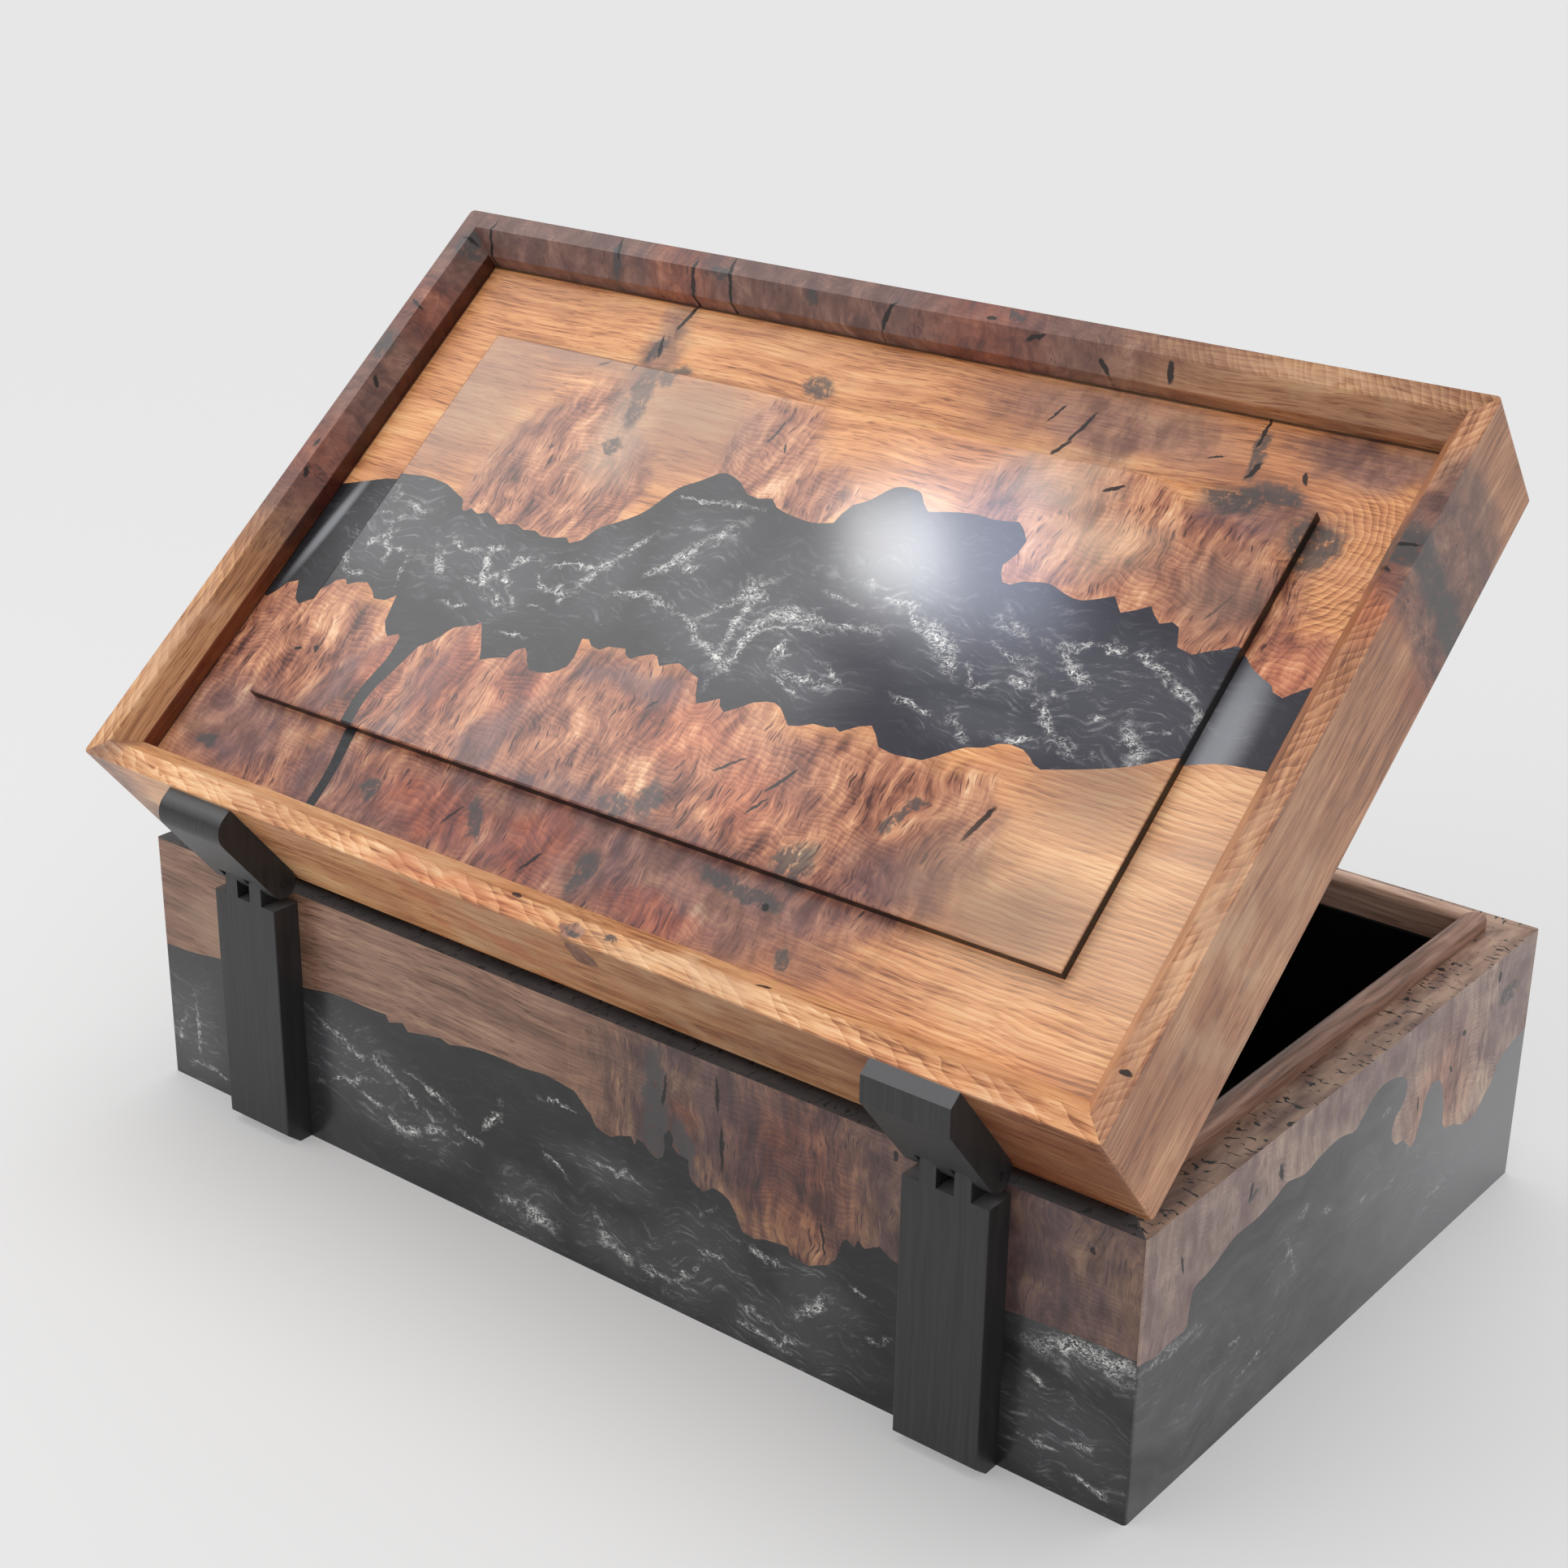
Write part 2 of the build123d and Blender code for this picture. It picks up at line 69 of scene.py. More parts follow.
def linear(colour):
    """A linear colour from an sRGB hex value."""
    parts = [int(colour[i:i + 2], 16) / 255 for i in (1, 3, 5)]
    turned = [c / 12.92 if c <= 0.04045 else ((c + 0.055) / 1.055) ** 2.4 for c in parts]
    return (*turned, 1.0)


def node(tree, kind, links=None, stops=None, **settings):
    """Add a shader node. A link is a value, a colour, an output, or a node whose first output
    in use is meant. A ramp's stops are its colours, spread evenly from a low to a high value."""
    made = tree.nodes.new("ShaderNode" + kind)
    for name, value in settings.items():
        setattr(made, name, value)
    for name, value in (links or {}).items():
        if isinstance(name, int):
            target = made.inputs[name]
        else:
            target = next(s for s in made.inputs if s.enabled and name in (s.name, s.identifier))
        if isinstance(value, bpy.types.Node):
            value = next(s for s in value.outputs if s.enabled)
        if isinstance(value, bpy.types.NodeSocket):
            tree.links.new(value, target)
        else:
            target.default_value = linear(value) if isinstance(value, str) else value
    if stops:
        low, high, *colours = stops
        elements = made.color_ramp.elements
        while len(elements) < len(colours):
            elements.new(0.5)
        for number, (element, colour) in enumerate(zip(elements, colours)):
            element.position = low + (high - low) * number / (len(colours) - 1)
            element.color = linear(colour)
    return made


def new_material(name):
    """An empty material and its node tree."""
    material = bpy.data.materials.new(name)
    material.use_nodes = True
    material.node_tree.nodes.clear()
    return material, material.node_tree


def wear(material, *names):
    """Give the named pieces this material."""
    for name in names:
        slots = nodes[name].data.materials
        slots.clear()
        slots.append(material)


# Boards

def lid_point(x, y, z):
    """Where a point of the closed lid, in millimetres, is at rest, in metres."""
    turn = Matrix.Rotation(OPEN_ANGLE, 3, "X")
    return turn @ (Vector((x, y, z)) * MM - PIVOT) + PIVOT


def board(kind):
    """A board's zero point at rest, and its axes: along it, across its face, and out of it."""
    turn = Matrix.Rotation(OPEN_ANGLE, 3, "X")
    x, y, z = Vector((1, 0, 0)), Vector((0, 1, 0)), Vector((0, 0, 1))
    lid_y, lid_z = turn @ y, turn @ z
    boards = {
        "back": (Vector((0, -HALF_DEPTH * MM, 0)), x, z, -y),
        "front": (Vector((0, HALF_DEPTH * MM, 0)), -x, z, y),
        "left": (Vector((-HALF_LENGTH * MM, 0, 0)), -y, z, -x),
        "right": (Vector((HALF_LENGTH * MM, 0, 0)), y, z, x),
        "panel": (lid_point(0, 0, PANEL_TOP), x, lid_y, lid_z),
        "lid_back": (lid_point(0, -HALF_DEPTH, LID_TOP), x, lid_y, lid_z),
        "lid_front": (lid_point(0, HALF_DEPTH, LID_TOP), -x, -lid_y, lid_z),
        "lid_left": (lid_point(-HALF_LENGTH, 0, LID_TOP), -lid_y, x, lid_z),
        "lid_right": (lid_point(HALF_LENGTH, 0, LID_TOP), lid_y, -x, lid_z),
    }
    return boards[kind]


def on_board(tree, kind):
    """Coordinates in millimetres along a board, across its face and out of it."""
    zero, *axes = board(kind)
    rows = Matrix(axes)
    return node(
        tree, "Mapping",
        {
            "Vector": node(tree, "TexCoord").outputs["Object"],
            "Location": -(rows @ zero) / MM,
            "Rotation": Vector(rows.to_euler("XYZ")),
            "Scale": (1 / MM, 1 / MM, 1 / MM),
        },
    )


def in_millimetres(tree):
    """Object coordinates in millimetres."""
    whole = node(tree, "TexCoord").outputs["Object"]
    return node(tree, "Mapping", {"Vector": whole, "Scale": (1 / MM, 1 / MM, 1 / MM)})


# Patterns

def grain(tree, place, size, detail=3.0, rough=0.55, low=None, high=None):
    """Noise whose grains have a given size in millimetres along, across and out of a board.
    With a low and a high value it is spread out between them."""
    sized = node(tree, "Mapping", {"Vector": place, "Scale": [1 / s for s in size]})
    noise = node(tree, "TexNoise", {"Vector": sized, "Scale": 1.0, "Detail": detail,
                                    "Roughness": rough})
    if low is None:
        return noise
    return node(tree, "MapRange", {"Value": noise, "From Min": low, "From Max": high},
                interpolation_type="SMOOTHSTEP")


def shifted(tree, place, size, reach):
    """Coordinates pushed about by noise of a given size, by up to a given reach, in millimetres."""
    noise = node(tree, "TexNoise", {"Vector": place, "Scale": 1 / size, "Detail": 2.0})
    pushed = node(tree, "VectorMath", {0: noise.outputs["Color"], 1: [2 * reach] * 3, 2: place},
                  operation="MULTIPLY_ADD")
    return node(tree, "VectorMath", {0: pushed, 1: [reach] * 3}, operation="SUBTRACT")


def blended(tree, *parts):
    """The sum of patterns, each with its share."""
    total = 0.0
    for pattern, share in parts:
        total = node(tree, "Math", {0: pattern, 1: share, 2: total}, operation="MULTIPLY_ADD")
    return total


def rising(tree, vector, axis, first, last, top=1.0):
    """0 up to a first value on one axis of a vector, and 1, or a given top, from a last one."""
    value = node(tree, "SeparateXYZ", {0: vector}).outputs[axis]
    return node(tree, "MapRange", {"Value": value, "From Min": first, "From Max": last,
                                   "To Max": top})


def growth_rings(tree, place, middle, spacing, bend, size):
    """Growth rings round a knot, 0 to 1 and sharply back to 0 over a spacing in millimetres."""
    away = node(tree, "VectorMath", {0: place, 1: middle}, operation="DISTANCE").outputs["Value"]
    bent = blended(tree, (away, 1 / spacing), (grain(tree, place, size, detail=2.0), bend))
    return node(tree, "Math", {0: bent}, operation="FRACT")


def growth_lines(tree, place, along, across, out, bend, size):
    """Growth lines: 0 to 1 and sharply back to 0, with a spacing in millimetres in each
    direction, bent by noise of a given size, by so many lines."""
    slope = [1 / spacing if spacing else 0.0 for spacing in (along, across, out)]
    even = node(tree, "VectorMath", {0: place, 1: slope}, operation="DOT_PRODUCT")
    bent = blended(tree, (even, 1.0), (grain(tree, place, size, detail=2.0), bend))
    return node(tree, "Math", {0: bent}, operation="FRACT")


def depths(tree, place, shapes, reach):
    """1 in the middles of the listed ovals, falling to 0 at reach times their size. An oval is
    its middle, its two half sizes in millimetres and its turn in degrees."""
    deepest = 0.0
    for x, y, half_x, half_y, turn in shapes:
        local = node(
            tree, "Mapping",
            {
                "Vector": place,
                "Location": (x, y, 0),
                "Rotation": (0, 0, math.radians(turn)),
                "Scale": (half_x * reach, half_y * reach, 1e5),
            },
            vector_type="TEXTURE",
        )
        depth = node(tree, "TexGradient", {"Vector": local}, gradient_type="SPHERICAL")
        deepest = node(tree, "Math", {0: deepest, 1: depth.outputs["Fac"]}, operation="MAXIMUM")
    return deepest


def patches(tree, place, shapes, soft=0.35):
    """1 inside the listed ovals and 0 outside, with a soft rim."""
    return node(
        tree, "MapRange",
        {"Value": depths(tree, place, shapes, 1 + soft), "From Max": 2 * soft / (1 + soft)},
        interpolation_type="SMOOTHSTEP",
    )


def layered(tree, colour, *layers):
    """Colours laid over a first one. A layer is its strength, its colour, and its masks."""
    for strength, above, *masks in layers:
        amount = strength
        for mask in masks:
            amount = node(tree, "Math", {0: amount, 1: mask}, operation="MULTIPLY")
        colour = node(tree, "Mix", {"Factor": amount, "A": colour, "B": above}, data_type="RGBA")
    return colour


# Where the figure lies. Ovals on each board: middle x, y, half sizes, in millimetres, and turn

# Burl in the straight grain
BURL = {
    "panel": [
        (-106, 34, 25, 42, -22), (-84, 30, 20, 26, 0), (-24, 58, 20, 22, 10), (-2, 47, 20, 12, 0),
        (96, 58, 42, 24, -8), (138, 46, 34, 30, 0), (178, 22, 22, 20, 0), (-165, -62, 50, 34, 0),
        (-86, -66, 46, 40, 0), (-5, -62, 70, 40, 0), (75, -62, 50, 34, 0), (108, -52, 18, 22, 0),
        (-60, -104, 135, 18, 0),
    ],
    "back": [(110, 70, 108, 60, 0)],
    "right": [(0, 60, 140, 60, 0)],
    "front": [(-60, 70, 90, 50, 0), (150, 60, 50, 50, 0)],
    "left": [(30, 60, 70, 50, 0)],
    "lid_back": [(20, 3, 6, 3, 0)],
    "lid_front": [(100, 0, 190, 60, 0)],
    "lid_left": [(-95, 0, 112, 60, 0)],
    "lid_right": [(72, 0, 22, 14, 0)],
}

# Pale places
PALE = {
    "panel": [(156, -60, 34, 34, 0), (182, -50, 18, 50, 0), (104, 54, 20, 12, 0),
              (-86, 50, 12, 18, 0), (81, 69, 18, 12, 0)],
    "back": [(-176, 66, 14, 10, 0)],
    "right": [(-10, 66, 60, 14, 0)],
    "front": [(60, 70, 50, 12, 0)],
    "left": [(-60, 66, 50, 14, 0)],
    "lid_back": [(60, 4, 30, 3, 0)],
    "lid_front": [(-150, 4, 30, 3, 0)],
    "lid_left": [(80, 4, 30, 3, 0)],
    "lid_right": [(-60, 4, 40, 3, 0)],
}

# Mauve and purple-brown places
DUSK = {
    "panel": [
        (8, -86, 62, 9, -3), (60, -90, 36, 10, 4), (-60, -102, 60, 7, 8), (-165, -92, 30, 16, 0),
        (-118, -98, 14, 16, 0), (-10, -98, 110, 12, 0), (84, 98, 40, 13, 0), (174, 104, 28, 9, 0),
        (-95, 92, 8, 20, 8), (148, 75, 18, 10, 0), (-62, -78, 8, 30, -10), (-132, -66, 5, 20, -20),
        (-98, -60, 5, 26, -12), (98, -72, 16, 12, 0), (-20, -36, 20, 5, 0),
    ],
    "back": [(60, 80, 40, 30, 0), (160, 70, 60, 40, 0), (30, 62, 12, 40, 0)],
    "right": [(-90, 70, 40, 30, 0), (20, 90, 60, 16, 0), (110, 75, 20, 20, 0)],
    "front": [(-70, 74, 60, 30, 0), (180, 60, 30, 40, 0)],
    "left": [(30, 70, 50, 30, 0)],
    "lid_back": [(-205, -8, 16, 40, 0)],
    "lid_front": [(-20, 0, 60, 60, 0), (60, 0, 60, 60, 0), (150, 0, 60, 60, 0)],
    "lid_left": [(-20, 0, 40, 60, 0), (-95, 0, 50, 60, 0)],
    "lid_right": [(70, 6, 14, 10, 0), (96, -4, 10, 9, 0)],
}

# Glowing red places
EMBER = {
    "panel": [
        (-66, -98, 26, 9, -6), (-22, -92, 16, 8, 0), (30, -104, 16, 6, 0), (-120, -60, 10, 16, 0),
        (178, 24, 14, 16, 0), (-60, -40, 8, 20, -20), (8, -46, 22, 10, 0), (-24, -102, 12, 8, 0),
        (-90, -52, 10, 20, -10), (40, -60, 14, 12, 0),
    ],
    "back": [(84, 66, 22, 26, 0), (40, 62, 8, 12, 0)],
    "right": [(60, 60, 20, 20, 0)],
    "front": [(-20, 70, 30, 20, 0)],
    "left": [(20, 70, 30, 20, 0)],
    # The first oval on the back rail deepens its right end round the hinge arm, partly as the arm's
    # painted shadow
    "lid_back": [(165, -9, 50, 11, 0), (-30, 3, 40, 3, 0)],
    "lid_front": [(-30, 0, 20, 60, 0), (100, 0, 14, 60, 0)],
    "lid_left": [(-10, 0, 16, 60, 0), (-80, 0, 14, 60, 0)],
    "lid_right": [(50, 6, 14, 6, 0)],
}

# Slate-grey knots and bark pockets
KNOTS = {
    "panel": [
        (-88, 68, 4, 14, 12), (-82, 80, 5, 6, 0), (-98, 90, 3, 6, -30), (-86, 46, 4, 3, 0),
        (-25, 89, 7, 5, 0), (138, 80, 10, 7, 0), (148, 84, 10, 6, 0), (168, 71, 8, 9, 0),
        (136, 98, 3, 9, 10), (10, -72, 5, 7, 0), (0, -76, 6, 4, 0), (70, -76, 8, 7, 20),
        (92, -52, 2, 6, -20), (96, -46, 4, 2, 0), (-172, -100, 5, 3, 0), (0, -100, 3.5, 9, 0),
        (81, -103, 2, 4, 0), (-48, -95, 3, 9, 30), (-95, -97, 4, 4, 0), (60, -88, 12, 3, 0),
        (46, -86, 8, 3, 0),
    ],
    "back": [(30, 70, 5, 22, 0), (42, 60, 4, 10, 20)],
    "right": [(-65, 80, 3, 1.4, 0), (-50, 82, 1.4, 3, 0), (105, 78, 7, 4, 0)],
    "front": [(-40, 80, 8, 10, 0)],
    "left": [(40, 80, 8, 6, 0)],
    "lid_back": [(20, 3, 3, 1.2, 0), (34, 4, 2.4, 1.0, 0)],
    "lid_front": [(-40, 3, 4, 2, 0), (80, 6, 5, 1.6, 0), (128, 8, 2.4, 5, 0), (40, 8, 3, 2, 0)],
    "lid_left": [(-60, 4, 6, 4, 0), (-110, 8, 5, 4, 0)],
    "lid_right": [(70, 6, 7, 12, 0), (90, -30, 5, 5, 0)],
}

# Thin black cracks
CRACKS = {
    "panel": [
        (-94, 106, 0.9, 6, -14), (-97, 92, 0.7, 5, 20), (-111, 78, 2.4, 0.6, 30),
        (-98, 79, 0.5, 1.6, 0), (64, 98, 0.5, 4, -24), (75, 95, 0.8, 7, -20),
        (72, 86, 0.8, 4, -30), (100, 73, 3.6, 0.8, 24),
        (-27, 66, 0.6, 5, -14), (-20, 61, 0.5, 2, 30), (134, 106, 0.7, 6, 2), (137, 92, 0.9, 4, -20),
        (154, 93, 0.9, 2.4, 30), (123, 94, 3, 0.4, 24), (30, -52, 0.5, 6, -50), (50, -52, 0.7, 6, -30),
        (47, -62, 0.5, 4, -30), (118, -46, 1.0, 7, -18), (-149, -58, 0.9, 1.6, 20),
        (-157, -60, 1.8, 0.8, 10), (-20, -102, 0.5, 5, -30), (-58, -96, 0.5, 5, -30),
        (152, 42, 0.5, 6, -25), (160, 52, 0.4, 3, 0), (-9, -41, 0.4, 3, -30), (66, -90, 1.2, 1.2, 0),
    ],
    "back": [(55, 84, 0.7, 6, 5), (34, 78, 0.6, 6, -10), (57, 66, 0.8, 8, 0), (122, 88, 1.0, 2, 0),
             (189, 84, 0.8, 1.4, 0), (96, 50, 0.5, 6, 10)],
    "right": [(-104, 76, 0.6, 4, 15), (-49, 80, 1.0, 3, 20), (-67, 82, 0.8, 3, -20),
              (72, 76, 1.4, 1.4, 0), (96, 87, 1.2, 2, 0), (42, 63, 0.7, 3, 10), (65, 66, 0.6, 2, 40)],
    "front": [(-110, 80, 0.8, 6, 10), (20, 84, 0.7, 5, -10)],
    "left": [(10, 84, 0.8, 5, 12), (70, 80, 0.7, 4, -20)],
    "lid_back": [(-6, 7, 2.4, 0.8, -10), (88, 8, 2.2, 0.7, 10), (60, -16, 0.6, 3, 30)],
    "lid_front": [(190, 8, 0.7, 6, 0), (128, 4, 0.6, 4, 20), (92, 10, 0.8, 7, 0), (76, 8, 0.8, 8, 8),
                  (8, 9, 0.8, 5, -40), (-50, 8, 4, 0.7, 16), (-76, 11, 2.4, 0.8, -30),
                  (-32, 5, 2, 0.8, 0), (-100, 10, 1.2, 2.4, 0)],
    "lid_left": [(-2, 8, 2, 0.7, 10), (-14, 5, 2, 0.7, -10), (-45, 9, 2.4, 0.6, 20),
                 (-80, 5, 0.7, 3, -20), (-112, 8, 0.7, 3, 0)],
    "lid_right": [(70, 5, 0.8, 4, 15), (62, 8, 0.7, 3, -30), (-104, 4, 0.8, 2, 0)],
}

# Where a greyish veil of reflected light is painted over the honey wood of the panel's field
PAINTED_FIELD_VEIL = [(-160, 54, 34, 36, 0), (-118, 82, 50, 9, 0), (-62, 66, 24, 24, 0), (118, -60, 16, 14, 0),
        (150, -22, 20, 12, 0), (142, -68, 24, 13, 0), (151, 44, 14, 14, 0)]

# Misty places in the resin of each board, as ovals
MIST = {
    "panel": [
        (-152, -6, 22, 20, 0), (-122, -8, 26, 14, 0), (-92, -14, 20, 16, 0), (-56, 0, 14, 18, 20),
        (-28, 16, 16, 16, 40), (-10, -8, 24, 14, -20), (20, 2, 34, 12, 8), (34, -16, 20, 9, 0),
        (40, 16, 34, 14, 0), (76, 6, 14, 12, 0), (104, 8, 24, 16, -20), (140, 4, 32, 22, 0),
        (104, -16, 24, 8, 0),
    ],
    "back": [
        (-100, 34, 30, 16, -16), (-78, 24, 24, 10, 0), (-26, 12, 16, 12, 0), (14, 14, 22, 10, 0),
        (44, 20, 24, 16, 20), (82, 12, 26, 12, 0), (94, 30, 14, 12, 0), (-194, 20, 14, 20, 0),
        (188, 50, 24, 8, -6), (184, 20, 24, 16, 0), (10, 40, 20, 8, 0),
    ],
    "right": [
        (-104, 44, 30, 14, 0), (-38, 46, 14, 16, 40), (-54, 20, 20, 10, 20), (10, 48, 16, 12, 0),
        (60, 24, 30, 12, 0), (-84, 24, 20, 10, 0), (36, 44, 16, 10, 0),
    ],
    "front": [
        (-130, 26, 34, 12, 12), (-66, 24, 32, 12, 10), (0, 38, 30, 10, -10), (40, 20, 30, 12, 12),
        (100, 24, 34, 12, 0), (160, 20, 28, 12, 10),
    ],
    "left": [(-84, 26, 28, 12, 0), (-30, 30, 24, 12, 0), (16, 26, 28, 14, 20), (66, 22, 34, 12, 0)],
}

# Where the resin of a board turns to another colour: a tint on the panel, and on the right and
# back walls a painted reflection, a paler milky veil towards one end
RESIN_TINTS_AND_PAINTED_VEILS = {
    "panel": ("#34323f", [(105, 0, 85, 60, 0)]),
    "right": ("#868689", [(110, 30, 90, 70, 0)]),
    "back": ("#3f3f41", [(-180, 30, 70, 60, 0)]),
}

# Where the resin of the panel's satin margin is scuffed
SCUFFS = [(171, 2, 7, 30, 0), (-184, -8, 2, 22, -6)]

# Strands of mica on each board: half width, and the points that a strand passes
STRANDS = {
    "panel": [
        (1.5, [(-158, 6.5), (-147, 4.5)]), (0.7, [(-168, -2), (-166.5, -11)]),
        (0.8, [(-162, -2.5), (-157, -1), (-152, 0.5)]),
        (1.2, [(-157, -12.5), (-153, -8), (-150, -14), (-148, -17)]),
        (0.9, [(-145, -13.5), (-142, -13.5)]),
        (0.8, [(-168, -19), (-165, -22), (-160, -26), (-154, -27)]), (0.6, [(-137, -12), (-130, -8)]),
        (1.4, [(-133, -14), (-126, -11), (-121, -17)]), (0.8, [(-136.5, -15), (-135, -23)]),
        (0.9, [(-130, -3.5), (-121, -3.5), (-113, -6), (-103, -4)]),
        (1.3, [(-104.5, -7.5), (-102, -13), (-98, -18), (-94, -20), (-88, -22.5)]),
        (0.6, [(-111, -17), (-105, -17)]), (1.2, [(-98, -12.5), (-95, -12.5)]),
        (0.8, [(-93, -12.5), (-88, -16), (-85, -19)]), (0.7, [(-94, -9), (-92, -6), (-87, -3)]),
        (0.7, [(-80, -10), (-74, -12)]), (1.0, [(-71, -12.5), (-68, -15), (-66, -13), (-71, -12.5)]),
        (0.5, [(-78, -19), (-70, -20)]), (0.5, [(-110, -28), (-103, -27)]),
        (0.5, [(-80, -32), (-73, -31)]),
        (1.4, [(-62, -7), (-60, 0), (-57, 3), (-54, 7), (-50, 14)]), (0.6, [(-75, -3), (-60, -0.5)]),
        (0.7, [(-45, -6), (-36, -5)]),
        (1.3, [(-33, -5), (-22, -7.5), (-16, -9.5), (-5, -15), (0, -19), (7, -21)]),
        (1.5, [(-39, 4), (-35, 8), (-32, 12)]), (2.2, [(-31, 13), (-27, 18), (-20, 26)]),
        (0.8, [(-28, 10), (-26, 10)]), (0.8, [(-44, 34), (-25, 35), (-17, 36)]),
        (1.6, [(-10, -4), (2, 8), (12, 0), (8, -20)]), (1.5, [(2, 6), (3, -14)]),
        (1.7, [(10, 0), (28, 3), (45, 4)]), (0.8, [(10, -6), (25, -1), (33, -1.5)]),
        (1.2, [(16, 5), (20, 5)]), (0.9, [(22, -12), (24, -9), (27, -11), (24, -14)]),
        (1.1, [(31, -17), (42, -18)]), (0.7, [(28, -20), (36, -23)]), (0.9, [(44, -13), (48, -16)]),
        (0.8, [(28, 13), (37, 12)]), (1.1, [(40, 20), (50, 15), (58, 15), (65, 8)]),
        (3.0, [(69, 9), (76, 5), (81, 1)]), (2.2, [(92, 19), (101, 13)]), (2.2, [(114, 13), (123, 8)]),
        (1.2, [(97, 9), (109, 4), (119, 0)]),
        (1.4, [(101, 3), (112, -1), (118, -7), (128, -14), (137, -16)]),
        (1.2, [(116, 17), (134, 20.5), (150, 14), (162, 8), (163, 4)]), (0.7, [(162, 3), (154, -2)]),
        (2.8, [(146, -5), (151, -11)]), (0.8, [(140, 0), (136, -3)]), (1.1, [(110, -18), (126, -15)]),
        (0.7, [(72, -16), (83, -17)]), (1.2, [(92, -16), (98, -20)]),
        (0.9, [(88, 2), (92, -4), (95, -2)]),
    ],
    "back": [
        (1.0, [(-118, 47), (-103, 42), (-93, 41), (-82, 37), (-73, 31)]),
        (0.7, [(-118, 27), (-102, 33)]), (0.7, [(-105, 28), (-92, 25)]),
        (1.2, [(-91, 22), (-84, 19), (-74, 24), (-66, 26)]),
        (0.7, [(-62, 22), (-58, 25)]), (0.6, [(-60, 31), (-50, 30)]), (0.8, [(-75, 42), (-62, 38)]),
        (1.4, [(-43, 38), (-39, 43)]), (2.2, [(-33, 12), (-20, 10)]), (0.8, [(-190, 28), (-189, 14)]),
        (0.7, [(-200, 18), (-198, 26)]), (0.7, [(-192, 8), (-180, 8)]), (0.6, [(-17, 56), (-8, 57)]),
        (0.7, [(-16, 37), (-10, 33)]), (0.8, [(6, 41), (18, 42)]),
        (1.4, [(5, 20), (8, 13), (14, 11), (20, 12)]), (1.0, [(20, 10), (38, 10), (46, 20)]),
        (0.7, [(50, 39), (53, 42)]), (1.0, [(51, 25), (55, 28)]), (1.2, [(68, 35), (78, 34)]),
        (2.0, [(90, 23), (97, 30)]), (0.9, [(110, 38), (115, 37)]), (1.5, [(112, 22), (117, 24)]),
        (1.0, [(66, 8), (80, 5), (85, 9)]), (1.0, [(68, 14), (73, 13)]),
        (3.6, [(178, 49), (190, 52), (203, 50)]), (0.9, [(170, 36), (176, 35)]),
        (0.9, [(186, 20), (191, 20)]), (0.8, [(172, 15), (178, 14)]), (0.8, [(188, 8), (194, 8)]),
    ],
    "right": [
        (1.5, [(-118, 51), (-98, 50)]), (0.9, [(-35, 58), (-31, 58)]), (1.2, [(-40, 50), (-36, 42)]),
        (1.0, [(-18, 52), (-14, 52)]), (1.0, [(8, 45), (12, 45)]), (0.8, [(-60, 17), (-48, 22)]),
        (0.8, [(-94, 8), (-90, 11)]), (0.6, [(-70, 32), (-66, 32)]), (0.8, [(16, 70), (20, 70)]),
        (0.8, [(26, 41), (30, 41)]), (0.6, [(56, 22), (66, 22)]), (0.6, [(-84, 27), (-76, 27)]),
        (0.9, [(40, 50), (42, 54)]),
    ],
    "front": [
        (1.3, [(-150, 20), (-130, 30), (-110, 28)]), (0.9, [(-90, 20), (-60, 24), (-44, 34)]),
        (1.4, [(-20, 40), (-4, 44), (10, 36)]), (1.0, [(20, 14), (44, 18), (60, 28)]),
        (1.2, [(80, 30), (100, 20), (124, 22)]), (0.9, [(146, 14), (170, 26)]),
        (0.7, [(-180, 12), (-160, 8)]),
    ],
    "left": [
        (1.3, [(-100, 24), (-84, 30), (-66, 26)]), (0.9, [(-50, 38), (-36, 30)]),
        (1.2, [(-14, 16), (6, 22), (24, 34)]), (1.0, [(40, 30), (62, 18)]), (0.8, [(84, 16), (104, 26)]),
    ],
}


# Wood

# Colours that the boards share. The red deepens the wood's own colour, and the black of the
# field's cut edge is also that of the pits in the rims
EMBER_RED = "#f2a688"
KNOT_SLATE = "#454648"
CRACK_BLACK = "#150d0c"
CUT_BLACK = "#0d0a0a"
JOINT_AND_SHADE_BLACK = "#140c0a"

# Roughness of the panel's lacquer on its margin, and on its field
SATIN = 0.42
POLISHED = 0.12


